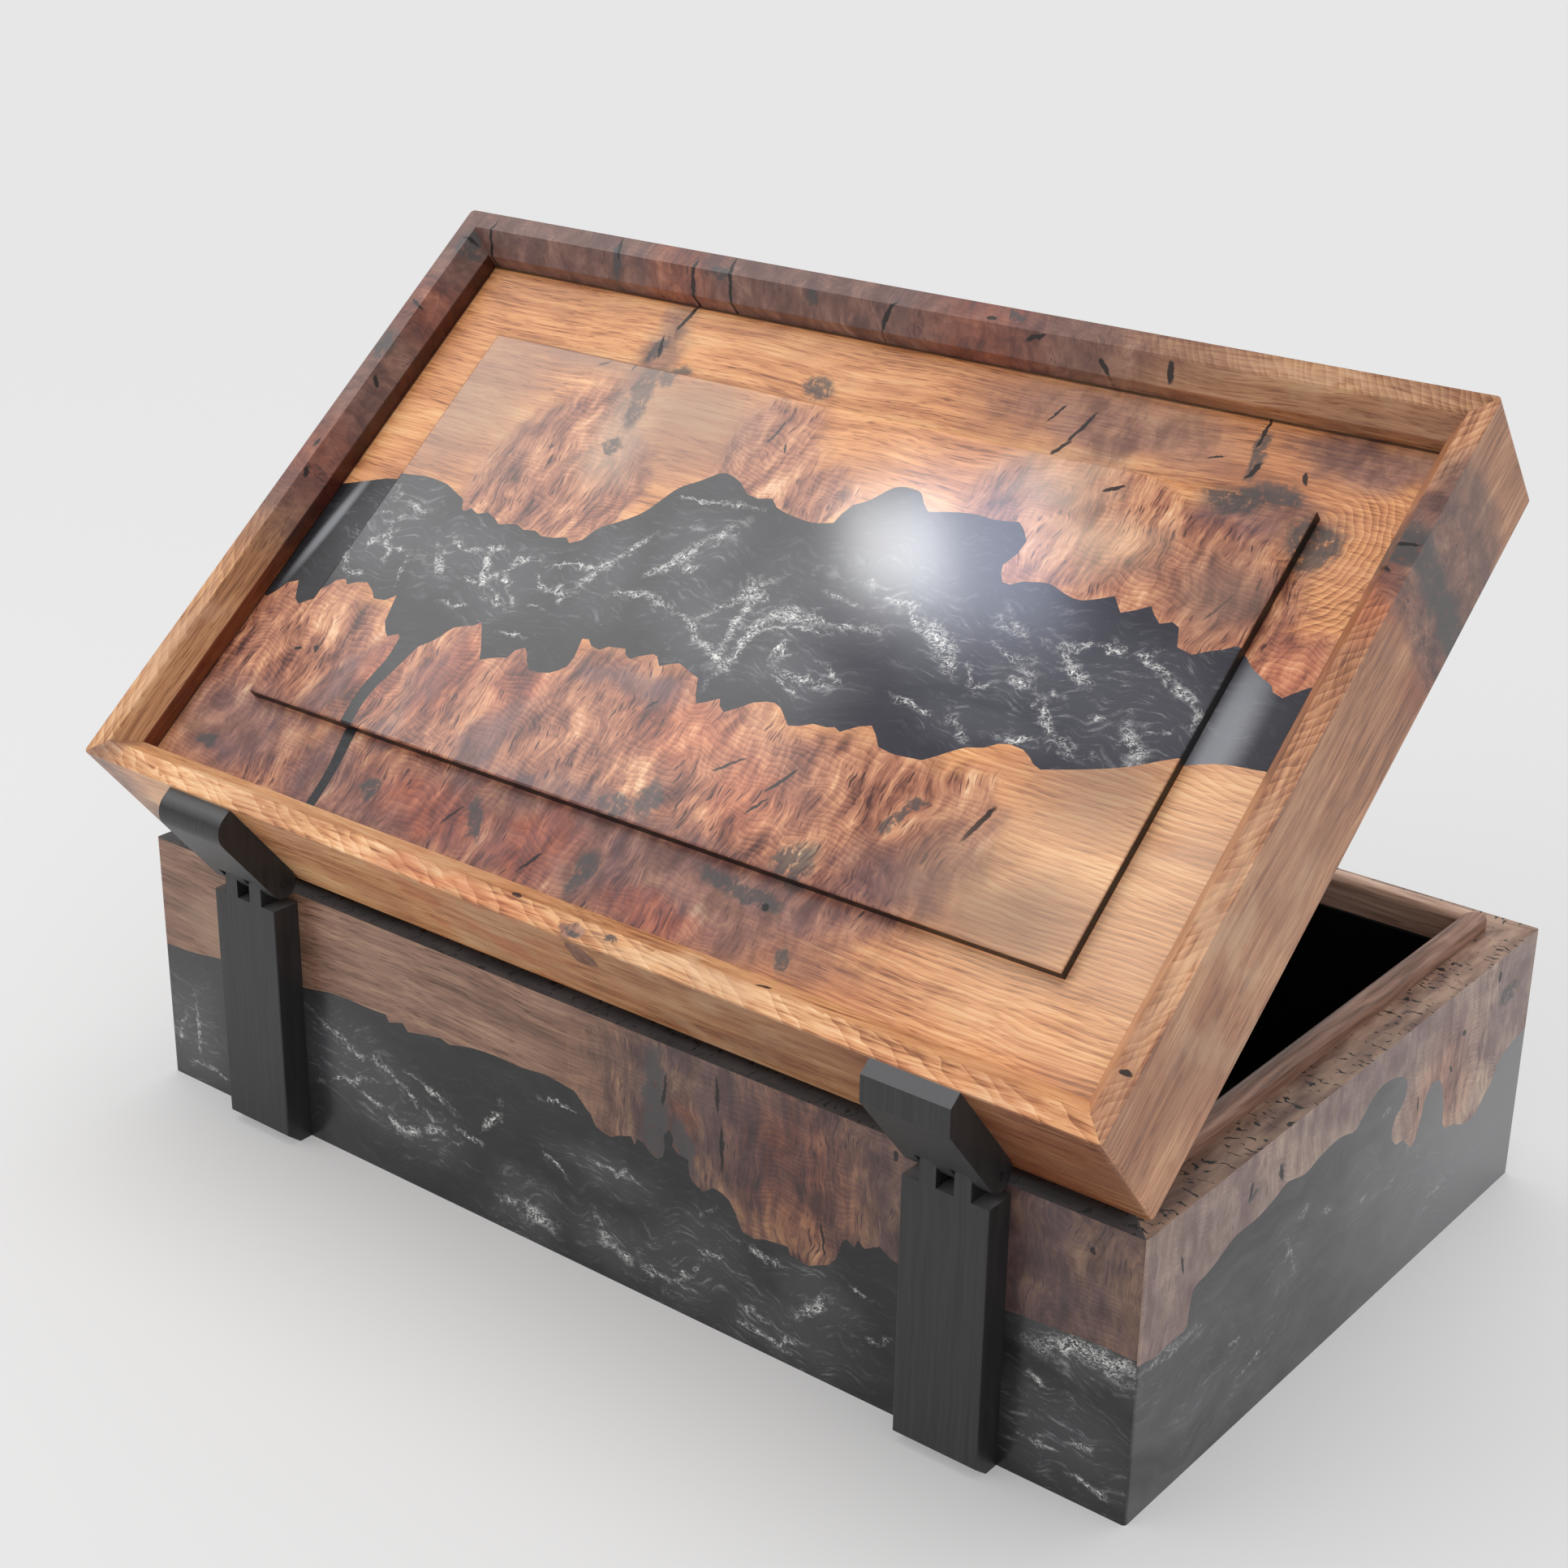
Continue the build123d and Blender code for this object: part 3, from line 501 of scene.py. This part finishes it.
def burl_wood(tree, place, kind, honey, burl, *hatches):
    """The colour of oiled burl wood: straight honey grain, with any hatches over it, which
    breaks up into burl, whose fibres and flames run across the board, with pale and mauve
    places, red embers, slate knots and thin black cracks."""
    *honey_tones, blush_tone, pale_tone = honey
    wavy = shifted(tree, place, 110.0, 7.0)

    # Straight grain: open pores as short dark dashes, drawn wider than real ones so that they
    # show, fine lines, growth bands and broad tones
    pores = grain(tree, wavy, (10.0, 0.55, 0.55), detail=1.0, low=0.56, high=0.66)
    lines = grain(tree, wavy, (30.0, 0.8, 0.8), detail=3.0)
    bands = grain(tree, wavy, (120.0, 3.4, 3.4), detail=4.0, rough=0.65)
    broad = grain(tree, place, (60.0, 26.0, 26.0), detail=2.0)
    tone = blended(tree, (lines, 0.28), (bands, 0.36), (broad, 0.36), (pores, -0.08), (1.0, 0.01),
                   *hatches)
    straight = node(tree, "ValToRGB", {"Fac": tone}, stops=(0.37, 0.63, *honey_tones))
    blush = grain(tree, place, (48.0, 20.0, 20.0), detail=2.0, low=0.46, high=0.62)
    straight = layered(tree, straight, (0.30, blush_tone, blush))

    # Burl: flames and fibres with short dark strokes across the board and, here and there in
    # the fibres' place, faint ripples along it
    flow = shifted(tree, shifted(tree, place, 34.0, 8.0), 8.0, 1.5)
    flames = grain(tree, flow, (4.0, 22.0, 8.0), detail=4.0, rough=0.62)
    fibres = grain(tree, flow, (0.8, 9.0, 3.0), detail=2.0)
    strokes = grain(tree, flow, (0.7, 8.0, 3.0), detail=1.0, low=0.60, high=0.68)
    mottle = grain(tree, flow, (13.0, 18.0, 15.0), detail=4.0, rough=0.6)
    ripples = growth_lines(tree, flow, 18.0, 1.8, 4.0, 5.0, (26.0, 20.0, 20.0))
    ripples = node(tree, "Mix", {"Factor": 0.35, "A": 0.5, "B": ripples})
    rippled = grain(tree, place, (22.0, 18.0, 20.0), detail=2.0, low=0.45, high=0.55)
    curl = node(tree, "Mix", {"Factor": rippled, "A": fibres, "B": ripples})
    strokes = node(tree, "Math", {0: strokes, 1: rippled}, operation="SUBTRACT", use_clamp=True)
    tone = blended(tree, (flames, 0.36), (curl, 0.18), (mottle, 0.46), (strokes, -0.14))
    curly = node(tree, "ValToRGB", {"Fac": tone}, stops=(0.375, 0.715, *burl))

    edge = shifted(tree, shifted(tree, place, 18.0, 8.0), 5.0, 2.5)
    in_burl = patches(tree, edge, BURL[kind], soft=0.2)
    colour = layered(tree, straight, (1.0, curly, in_burl))

    # Pale and mauve places, embers, knots and cracks
    cloud = shifted(tree, place, 14.0, 9.0)
    mottled = grain(tree, flow, (8.0, 14.0, 12.0), detail=4.0, rough=0.65, low=0.38, high=0.64)
    pale = patches(tree, cloud, PALE[kind], soft=0.8)
    dusk = patches(tree, cloud, DUSK[kind], soft=0.6)
    ember = patches(tree, cloud, EMBER[kind], soft=0.7)
    ragged = shifted(tree, shifted(tree, place, 8.0, 4.0), 1.8, 1.3)
    knots = patches(tree, ragged, KNOTS[kind], soft=0.3)
    islands = grain(tree, ragged, (2.4, 3.4, 3.0), detail=3.0, low=0.28, high=0.48)
    split = shifted(tree, shifted(tree, place, 6.0, 1.2), 1.6, 0.5)
    cracks = patches(tree, split, CRACKS[kind], soft=0.2)
    glowing = node(tree, "Mix", {"Factor": 1.0, "A": colour, "B": EMBER_RED}, data_type="RGBA",
                   blend_type="MULTIPLY")
    return layered(
        tree, colour,
        (0.38, pale_tone, pale),
        (0.58, burl[-1], dusk),
        (0.55, burl[0], dusk, mottled),
        (0.42, glowing, ember),
        (0.82, KNOT_SLATE, knots, islands),
        (0.95, CRACK_BLACK, cracks),
    )


def panel_surface(tree, place, colour):
    """The panel's lacquer: polished on the field, satin on the margin, black on the cut edge
    and along the joint with the rails, where the black is partly painted shade."""
    field = rising(tree, place, "Z", *FIELD_START)
    above = rising(tree, place, "Z", *EDGE_START)
    edge = node(tree, "Math", {0: above, 1: field}, operation="SUBTRACT", use_clamp=True)
    gloss = node(tree, "MapRange", {"Value": field, "To Min": SATIN, "To Max": POLISHED})
    # A dark line along the joint with the rails, partly painted shade
    outward = node(tree, "VectorMath", {0: place}, operation="ABSOLUTE")
    past = node(tree, "VectorMath", {0: outward, 1: PANEL_JOINT}, operation="SUBTRACT")
    past = node(tree, "SeparateXYZ", {0: past})
    past = node(tree, "Math", {0: past.outputs["X"], 1: past.outputs["Y"]}, operation="MAXIMUM")
    joint = node(tree, "MapRange", {"Value": past, "From Max": 0.5})
    surface = node(
        tree, "BsdfPrincipled",
        {"Base Color": layered(tree, colour, (1.0, CUT_BLACK, edge), (0.85, JOINT_AND_SHADE_BLACK, joint)),
         "Roughness": gloss, "IOR": 1.5},
    )
    node(tree, "OutputMaterial", {"Surface": surface})


# Colours of the straight grain: four from dark to pale, its blush and its pale places. Colours
# of the burl: five from dark to pale, and its dusk, to which its highest tones turn as well
PANEL_HONEY = ("#925a38", "#cc8757", "#efab73", "#feca92", "#c28464", "#fcdcbc")
PANEL_BURL = ("#4c2a24", "#8a5442", "#b97b5e", "#dfa27a", "#fbd6ac", "#7b6165")
# Each wall's wood in lit and shaded copies: the back and front tones are painted darker, as shade, and
# the right and left ones paler and greyer, as painted light and a reflected veil
WALL_TONES = {
    "back": (("#5a3f31", "#7c5b4a", "#987460", "#b39175", "#775a4e", "#b89a80"),
             ("#33211f", "#573d36", "#7b5a4b", "#a17b5c", "#c49b76", "#5f4d50")),
    "right": (("#745b4c", "#937a6a", "#aa9282", "#bea993", "#8e786e", "#c6b09e"),
              ("#6b514a", "#937770", "#b39789", "#ccb19b", "#e0c8ae", "#857072")),
}
WALL_TONES["front"] = WALL_TONES["back"]
WALL_TONES["left"] = WALL_TONES["right"]

RAIL_TONES = {
    "back": ("#8f5734", "#cb8c5c", "#eab07c", "#fbd0a0", "#b5795a", "#ffdcb0"),
    "right": ("#7a4b34", "#a36b49", "#c48a64", "#e0aa80", "#976c55", "#e6c09a"),
    "front": ("#6c402d", "#93613f", "#b2805a", "#cc9e75", "#8c6252", "#d0a680"),
    "left": ("#84542f", "#b37a50", "#d29a6b", "#eabc8c", "#a4725a", "#e6bb98"),
}
RAIL_BURL = ("#50332d", "#744d42", "#946753", "#af826a", "#cba086", "#745a57")

# The weathered rim of the walls, dark at the back and left and brown at the right and front
RIM_TONES = {"back": ("#363434", "#565050"), "right": ("#785a4e", "#bb9a84")}
RIM_TONES["front"] = RIM_TONES["right"]
RIM_TONES["left"] = RIM_TONES["back"]

# The liners, from dark to pale. The front one is painted paler than the others, for the light
# that falls on it from above
LINER_TONES = {
    "back": ("#6c4e3e", "#977261", "#bb947f"),
    "front": ("#967562", "#d0a994", "#f0d0b8"),
}
LINER_TONES["left"] = LINER_TONES["back"]
LINER_TONES["right"] = LINER_TONES["back"]

# The hatch of cut growth lines on each rail's flat: turn in degrees, spacing in millimetres
RAIL_HATCH = {"back": (24, 4.0), "right": (46, 3.0), "front": (58, 2.4), "left": (-30, 3.4)}

# What darkens a rail's colour: painted shade on its upright and, towards its right end, a painted
# shadow on its outer face, and how much of the second each rail has
UPRIGHT_PAINTED_SHADE = "#a07868"
OUTER_PAINTED_SHADOW = "#a09490"
PAINTED_SHADOW_SHARE = {"back": 0.95, "right": 0.1, "front": 0.1, "left": 0.1}


def polished_burl_panel():
    """Burl panel under clear lacquer: the raised field is polished, the margin round it satin,
    and the field's cut edge is black."""
    material, tree = new_material("polished_burl_panel")
    place = on_board(tree, "panel")
    lines = growth_lines(tree, place, 90.0, 1.9, 0, 7.0, (70.0, 26.0, 26.0))
    rings = growth_rings(tree, place, (160, 72, 0), 2.4, 3.0, (16.0, 16.0, 16.0))
    by_knot = patches(tree, place, [(176, 60, 22, 38, 0)])
    lines = node(tree, "Mix", {"Factor": by_knot, "A": lines, "B": rings})
    lined = patches(tree, place, [(165, -50, 70, 75, 0), (176, 60, 30, 50, 0)], soft=0.8)
    lines = node(tree, "Mix", {"Factor": lined, "A": 0.5, "B": lines})
    colour = burl_wood(tree, place, "panel", PANEL_HONEY, PANEL_BURL, (lines, 0.15), (1.0, -0.075))
    field = rising(tree, place, "Z", *FIELD_START)
    # Painted reflection: a greyish veil over the field in these places
    painted_field_veil = patches(tree, shifted(tree, place, 40.0, 12.0), PAINTED_FIELD_VEIL, soft=0.8)
    panel_surface(tree, place, layered(tree, colour, (0.62, "#896e62", painted_field_veil, field)))
    return material


def waxed_burl_wall(side):
    """A wall's burl wood under satin wax, with a weathered rim full of small black pits."""
    material, tree = new_material(f"waxed_burl_{side}_wall")
    place = on_board(tree, side)
    colour = burl_wood(tree, place, side, *WALL_TONES[side])
    on_rim = rising(tree, node(tree, "TexCoord").outputs["Normal"], "Z", 0.6, 0.9)
    weathered = node(tree, "ValToRGB", {"Fac": grain(tree, place, (22.0, 6.0, 5.0), detail=4.0)},
                     stops=(0.35, 0.65, *RIM_TONES[side]))
    curled = shifted(tree, place, 6.0, 3.5)
    pits = grain(tree, curled, (1.5, 4.6, 4.6), detail=1.0, low=0.63, high=0.66)
    rim = layered(tree, weathered, (1.0, CUT_BLACK, pits))
    colour = layered(tree, colour, (1.0, rim, on_rim))
    surface = node(tree, "BsdfPrincipled", {"Base Color": colour, "Roughness": 0.38})
    node(tree, "OutputMaterial", {"Surface": surface})
    return material


def waxed_rail(side):
    """A lid rail under satin wax: straight honey grain with its growth lines cut at a slant,
    burl and purple-brown dusk in places, painted shade on the upright down to the panel, and a
    painted shadow on the outer face that deepens to the right."""
    material, tree = new_material(f"waxed_{side}_rail")
    kind = f"lid_{side}"
    place = on_board(tree, kind)
    flat = rising(tree, place, "Z", -0.9, -0.4)
    turn, spacing = RAIL_HATCH[side]
    slanted = node(tree, "Mapping", {"Vector": place, "Rotation": (0, 0, math.radians(turn))})
    hatch = growth_lines(tree, slanted, 0, spacing, 0, 3.0, (24.0, 8.0, 8.0))
    hatch = node(tree, "Math", {0: hatch, 1: flat}, operation="MULTIPLY")
    colour = burl_wood(tree, place, kind, RAIL_TONES[side], RAIL_BURL, (hatch, 0.11), (flat, -0.04))
    # Painted shade: the upright down to the panel is darkened
    upright = rising(tree, place, "Y", RAIL_SIGHT - 0.3, RAIL_SIGHT - 0.1)
    painted_upright_shade = node(tree, "Mix", {"Factor": 1.0, "A": colour, "B": UPRIGHT_PAINTED_SHADE}, data_type="RGBA",
                   blend_type="MULTIPLY")
    # Painted shadow: the outer face darkens towards its right end, most on the back rail by the hinge
    # arm
    outer = rising(tree, place, "Y", 0.3, 0.1)
    painted_shadow_to_right = rising(tree, place, "X", -180.0, 190.0, PAINTED_SHADOW_SHARE[side])
    painted_outer_shadow = node(tree, "Mix", {"Factor": 1.0, "A": colour, "B": OUTER_PAINTED_SHADOW}, data_type="RGBA",
                  blend_type="MULTIPLY")
    colour = layered(tree, colour, (1.0, painted_upright_shade, upright), (1.0, painted_outer_shadow, outer, painted_shadow_to_right))
    surface = node(tree, "BsdfPrincipled", {"Base Color": colour, "Roughness": 0.36})
    node(tree, "OutputMaterial", {"Surface": surface})
    return material


def satin_liner_wood(side):
    """A liner board in satin brown wood, with its straight grain along the rounded bead."""
    material, tree = new_material(f"satin_{side}_liner_wood")
    place = shifted(tree, on_board(tree, side), 60.0, 3.0)
    colour = node(tree, "ValToRGB", {"Fac": grain(tree, place, (40.0, 1.8, 1.8), detail=4.0)},
                  stops=(0.32, 0.70, *LINER_TONES[side]))
    surface = node(tree, "BsdfPrincipled", {"Base Color": colour, "Roughness": 0.34})
    node(tree, "OutputMaterial", {"Surface": surface})
    return material


def oiled_bottom_board():
    """Plain oiled bottom board, straight-grained."""
    material, tree = new_material("oiled_bottom_board")
    place = shifted(tree, in_millimetres(tree), 50.0, 6.0)
    colour = node(tree, "ValToRGB", {"Fac": grain(tree, place, (120.0, 3.0, 10.0), detail=4.0)},
                  stops=(0.35, 0.68, "#4b372c", "#6b5142", "#8a6b57"))
    surface = node(tree, "BsdfPrincipled", {"Base Color": colour, "Roughness": 0.5})
    node(tree, "OutputMaterial", {"Surface": surface})
    return material


def ebonised_wood():
    """Hinge wood with a black stain, matt from rubbing, painted paler on top as a reflection of
    the light above, with its fine upright grain just visible."""
    material, tree = new_material("ebonised_wood")
    place = shifted(tree, in_millimetres(tree), 20.0, 1.5)
    fine = grain(tree, place, (1.2, 3.0, 45.0), detail=4.0)
    colour = node(tree, "ValToRGB", {"Fac": fine}, stops=(0.3, 0.7, "#212122", "#303032"))
    # Painted reflection: faces that point up are paler
    painted_top_reflection = rising(tree, node(tree, "TexCoord").outputs["Normal"], "Z", 0.4, 0.9)
    colour = layered(tree, colour, (0.8, "#6e6e70", painted_top_reflection))
    bump = node(tree, "Bump", {"Height": fine, "Strength": 0.15, "Distance": 0.2 * MM})
    surface = node(tree, "BsdfPrincipled", {"Base Color": colour, "Roughness": 0.42, "Normal": bump})
    node(tree, "OutputMaterial", {"Surface": surface})
    return material


# Resin

# Each board's resin: its depth, its smoke, and how strongly its mica shows. The paler grey of
# the right and left walls is a painted reflection, a milky veil
RESIN = {
    "panel": ("#1b1b1e", "#2a2a2f", 1.0),
    "back": ("#19191b", "#29292b", 0.80),
    "right": ("#2b2b2d", "#525255", 0.55),
}
RESIN["front"] = RESIN["back"]
RESIN["left"] = RESIN["right"]

# Mica, from a thin haze to single bright flakes
HAZE = "#b9bac0"
WISP = "#bfc0c2"
THREAD = "#d6d6d5"
SPECK = "#dcdcdb"
FLAKE = "#f6f5f1"


def mica_resin(kind):
    """Cast resin, near black, or dark grey where a milky reflection is painted into it, with
    drawn-out strands and flakes of white mica, which are drawn larger than real ones, so that they show."""
    material, tree = new_material(f"mica_resin_{kind}")
    depth, smoke_and_painted_veil, strength = RESIN[kind]
    place = on_board(tree, kind)
    swirled = shifted(tree, shifted(tree, place, 34.0, 16.0), 9.0, 2.0)

    # A strand is a chain of thin ovals, roughened by noise, broken up and filled with flakes
    runs = []
    for half_width, points in STRANDS[kind]:
        for (x0, y0), (x1, y1) in zip(points, points[1:]):
            length = math.hypot(x1 - x0, y1 - y0)
            turn = math.degrees(math.atan2(y1 - y0, x1 - x0))
            runs.append(((x0 + x1) / 2, (y0 + y1) / 2, 0.6 * length + half_width, half_width, turn))
    frayed = shifted(tree, shifted(tree, place, 10.0, 4.0), 2.4, 2.0)
    core = patches(tree, frayed, runs, soft=0.9)
    cloud = patches(tree, shifted(tree, place, 16.0, 8.0), MIST[kind], soft=0.7)
    wisps = grain(tree, swirled, (12.0, 1.6, 5.0), detail=5.0, rough=0.68, low=0.50, high=0.74)
    breaks = grain(tree, place, (8.0, 6.0, 6.0), detail=3.0, low=0.38, high=0.56)
    flakes = grain(tree, frayed, (1.6, 0.5, 0.8), detail=3.0, low=0.44, high=0.62)
    specks = grain(tree, swirled, (1.5, 0.5, 0.7), detail=2.0, low=0.60, high=0.72)
    smoke = grain(tree, swirled, (46.0, 15.0, 20.0), detail=4.0, rough=0.6)
    base = node(tree, "ValToRGB", {"Fac": smoke}, stops=(0.35, 0.72, depth, smoke_and_painted_veil))
    # A tint on the panel; on the walls, a painted reflection
    if kind in RESIN_TINTS_AND_PAINTED_VEILS:
        tint_and_painted_veil, where = RESIN_TINTS_AND_PAINTED_VEILS[kind]
        base = layered(tree, base, (0.8, tint_and_painted_veil, patches(tree, swirled, where, soft=0.9)))
    colour = layered(
        tree, base,
        (0.09 * strength, HAZE, cloud),
        (0.42 * strength, WISP, wisps, cloud, breaks),
        (0.05 * strength, HAZE, wisps),
        (0.70 * strength, SPECK, specks, wisps, cloud),
        (0.35 * strength, THREAD, core, wisps),
        (0.95 * strength, FLAKE, core, flakes, breaks),
    )
    if kind == "panel":
        low_margin = rising(tree, place, "Z", 0.4, 0.2)
        scuffs = patches(tree, place, SCUFFS, soft=0.7)
        colour = layered(tree, colour, (0.6, "#adafb5", scuffs, low_margin))
        panel_surface(tree, place, colour)
    else:
        surface = node(tree, "BsdfPrincipled", {"Base Color": colour, "Roughness": 0.24, "IOR": 1.5})
        node(tree, "OutputMaterial", {"Surface": surface})
    return material


# Other finishes

def black_velvet():
    """Cut-pile velvet: black, with a faint sheen where the pile is seen from the side. Its tufts
    are drawn 0.8 mm wide, coarser than real ones, so that they show."""
    material, tree = new_material("black_velvet")
    pile = grain(tree, in_millimetres(tree), (0.8, 0.8, 0.8), detail=2.0)
    colour = node(tree, "ValToRGB", {"Fac": pile}, stops=(0.3, 0.8, "#040405", "#0f0f11"))
    surface = node(
        tree, "BsdfPrincipled",
        {"Base Color": colour, "Roughness": 0.95, "Sheen Weight": 0.05, "Specular IOR Level": 0.1},
    )
    node(tree, "OutputMaterial", {"Surface": surface})
    return material


def drawn_steel_pin():
    """Drawn steel pin, cut and filed flush at its ends, dull grey and a little uneven. Its marks
    are drawn 0.5 mm wide, coarser than real ones, so that they show."""
    material, tree = new_material("drawn_steel_pin")
    scratches = grain(tree, in_millimetres(tree), (0.5, 0.5, 0.5))
    colour = node(tree, "ValToRGB", {"Fac": scratches}, stops=(0.3, 0.7, "#3a3a3c", "#77777a"))
    surface = node(tree, "BsdfPrincipled", {"Base Color": colour, "Metallic": 1.0, "Roughness": 0.42})
    node(tree, "OutputMaterial", {"Surface": surface})
    return material


def dress_pieces():
    """Give every piece its finish."""
    wear(polished_burl_panel(), "lid_front_wood", "lid_back_left_wood", "lid_back_right_wood")
    wear(mica_resin("panel"), "lid_river_resin")
    for side in SIDES:
        wear(waxed_rail(side), f"lid_{side}_rail")
        wear(waxed_burl_wall(side), f"{side}_wall_wood")
        wear(satin_liner_wood(side), f"{side}_liner")
        wear(mica_resin(side), f"{side}_wall_resin")
    wear(black_velvet(), "floor_velvet", "lid_velvet", *[f"{side}_velvet" for side in SIDES])
    wear(ebonised_wood(), "left_hinge_bar", "left_hinge_arm", "right_hinge_bar", "right_hinge_arm")
    wear(drawn_steel_pin(), "left_hinge_pin", "right_hinge_pin")
    wear(oiled_bottom_board(), "bottom_board")


# Studio

def add_floor():
    """A wide pale floor, lifted a little by its own glow so that the far end stays pale."""
    bpy.ops.mesh.primitive_plane_add(size=30.0, location=(0, 0, 0))
    floor = bpy.context.object
    floor.name = "floor"
    material, tree = new_material("pale_floor")
    surface = node(
        tree, "BsdfPrincipled",
        {"Base Color": "#c4c4c4", "Emission Color": "#ffffff", "Emission Strength": 0.25,
         "Roughness": 0.9, "Specular IOR Level": 0.0},
    )
    node(tree, "OutputMaterial", {"Surface": surface})
    floor.data.materials.append(material)


def add_camera():
    """The camera, from behind and to the right of the box, as in the photograph."""
    data = bpy.data.cameras.new("camera")
    data.lens = CAMERA_LENS
    data.sensor_width = 36.0
    camera = bpy.data.objects.new("camera", data)
    camera.location = CAMERA_PLACE
    camera.rotation_euler = Euler([math.radians(a) for a in CAMERA_TURN])
    bpy.context.collection.objects.link(camera)
    bpy.context.scene.camera = camera


def mirrored(x, y):
    """A point of the lid's field, and the direction in which the camera's ray leaves it."""
    point = lid_point(x, y, FIELD_TOP)
    normal = (lid_point(0, 0, 1) - lid_point(0, 0, 0)).normalized()
    ray = (point - Vector(CAMERA_PLACE)).normalized()
    return point, ray - 2 * ray.dot(normal) * normal


def new_light(name, kind, power):
    """A light in the scene."""
    data = bpy.data.lights.new(name, kind)
    data.energy = power
    light = bpy.data.objects.new(name, data)
    bpy.context.collection.objects.link(light)
    return light


def reflected_card(name, middle, size, power, colour="#ffffff"):
    """A softbox that only shows as a reflection in the lid, centred on a point of its field."""
    point, leaving = mirrored(*middle)
    light = new_light(name, "AREA", power)
    light.data.shape = "RECTANGLE"
    light.data.size, light.data.size_y = size
    light.data.color = linear(colour)[:3]
    light.location = point + leaving * CARD_DISTANCE
    light.rotation_euler = (-leaving).to_track_quat("-Z", "Y").to_euler()
    light.visible_diffuse = False


def side_card():
    """A card on the left that lights the left end of the back wall and the floor beside it."""
    place = Vector((-0.70, -0.60, 0.34))
    lit = Vector((-0.20, -0.13, 0.06))
    light = new_light("side_card", "AREA", 1.0)
    light.data.size = 0.4
    light.location = place
    light.rotation_euler = (place - lit).to_track_quat("Z", "Y").to_euler()
    light.visible_glossy = False


def soft_sun(name, turn, strength, angle):
    """A wide soft light from far away, so that the floor is evenly lit."""
    light = new_light(name, "SUN", strength)
    light.data.angle = math.radians(angle)
    light.rotation_euler = Euler([math.radians(a) for a in turn])
    light.visible_glossy = False


def add_lights():
    """Even studio light, a key from above, a weak fill and a card from the left, and three cards
    that the polished field reflects."""
    world = bpy.data.worlds.new("studio")
    world.use_nodes = True
    sky = world.node_tree.nodes["Background"]
    sky.inputs["Color"].default_value = linear("#ffffff")
    sky.inputs["Strength"].default_value = 0.60
    bpy.context.scene.world = world
    soft_sun("key", (-8, -7, 0), 1.15, 50)
    soft_sun("fill", (50, -60, 0), 0.3, 30)
    side_card()
    reflected_card("softbox", (-92, 28), (0.62, 0.44), 2.15)
    reflected_card("glare", (40, 35), (0.08, 0.08), 0.41)
    reflected_card("glow", (70, 42), (0.13, 0.13), 0.44, "#dbe4ff")


add_camera()
add_floor()
add_lights()
dress_pieces()
bpy.context.scene.view_settings.view_transform = "Standard"
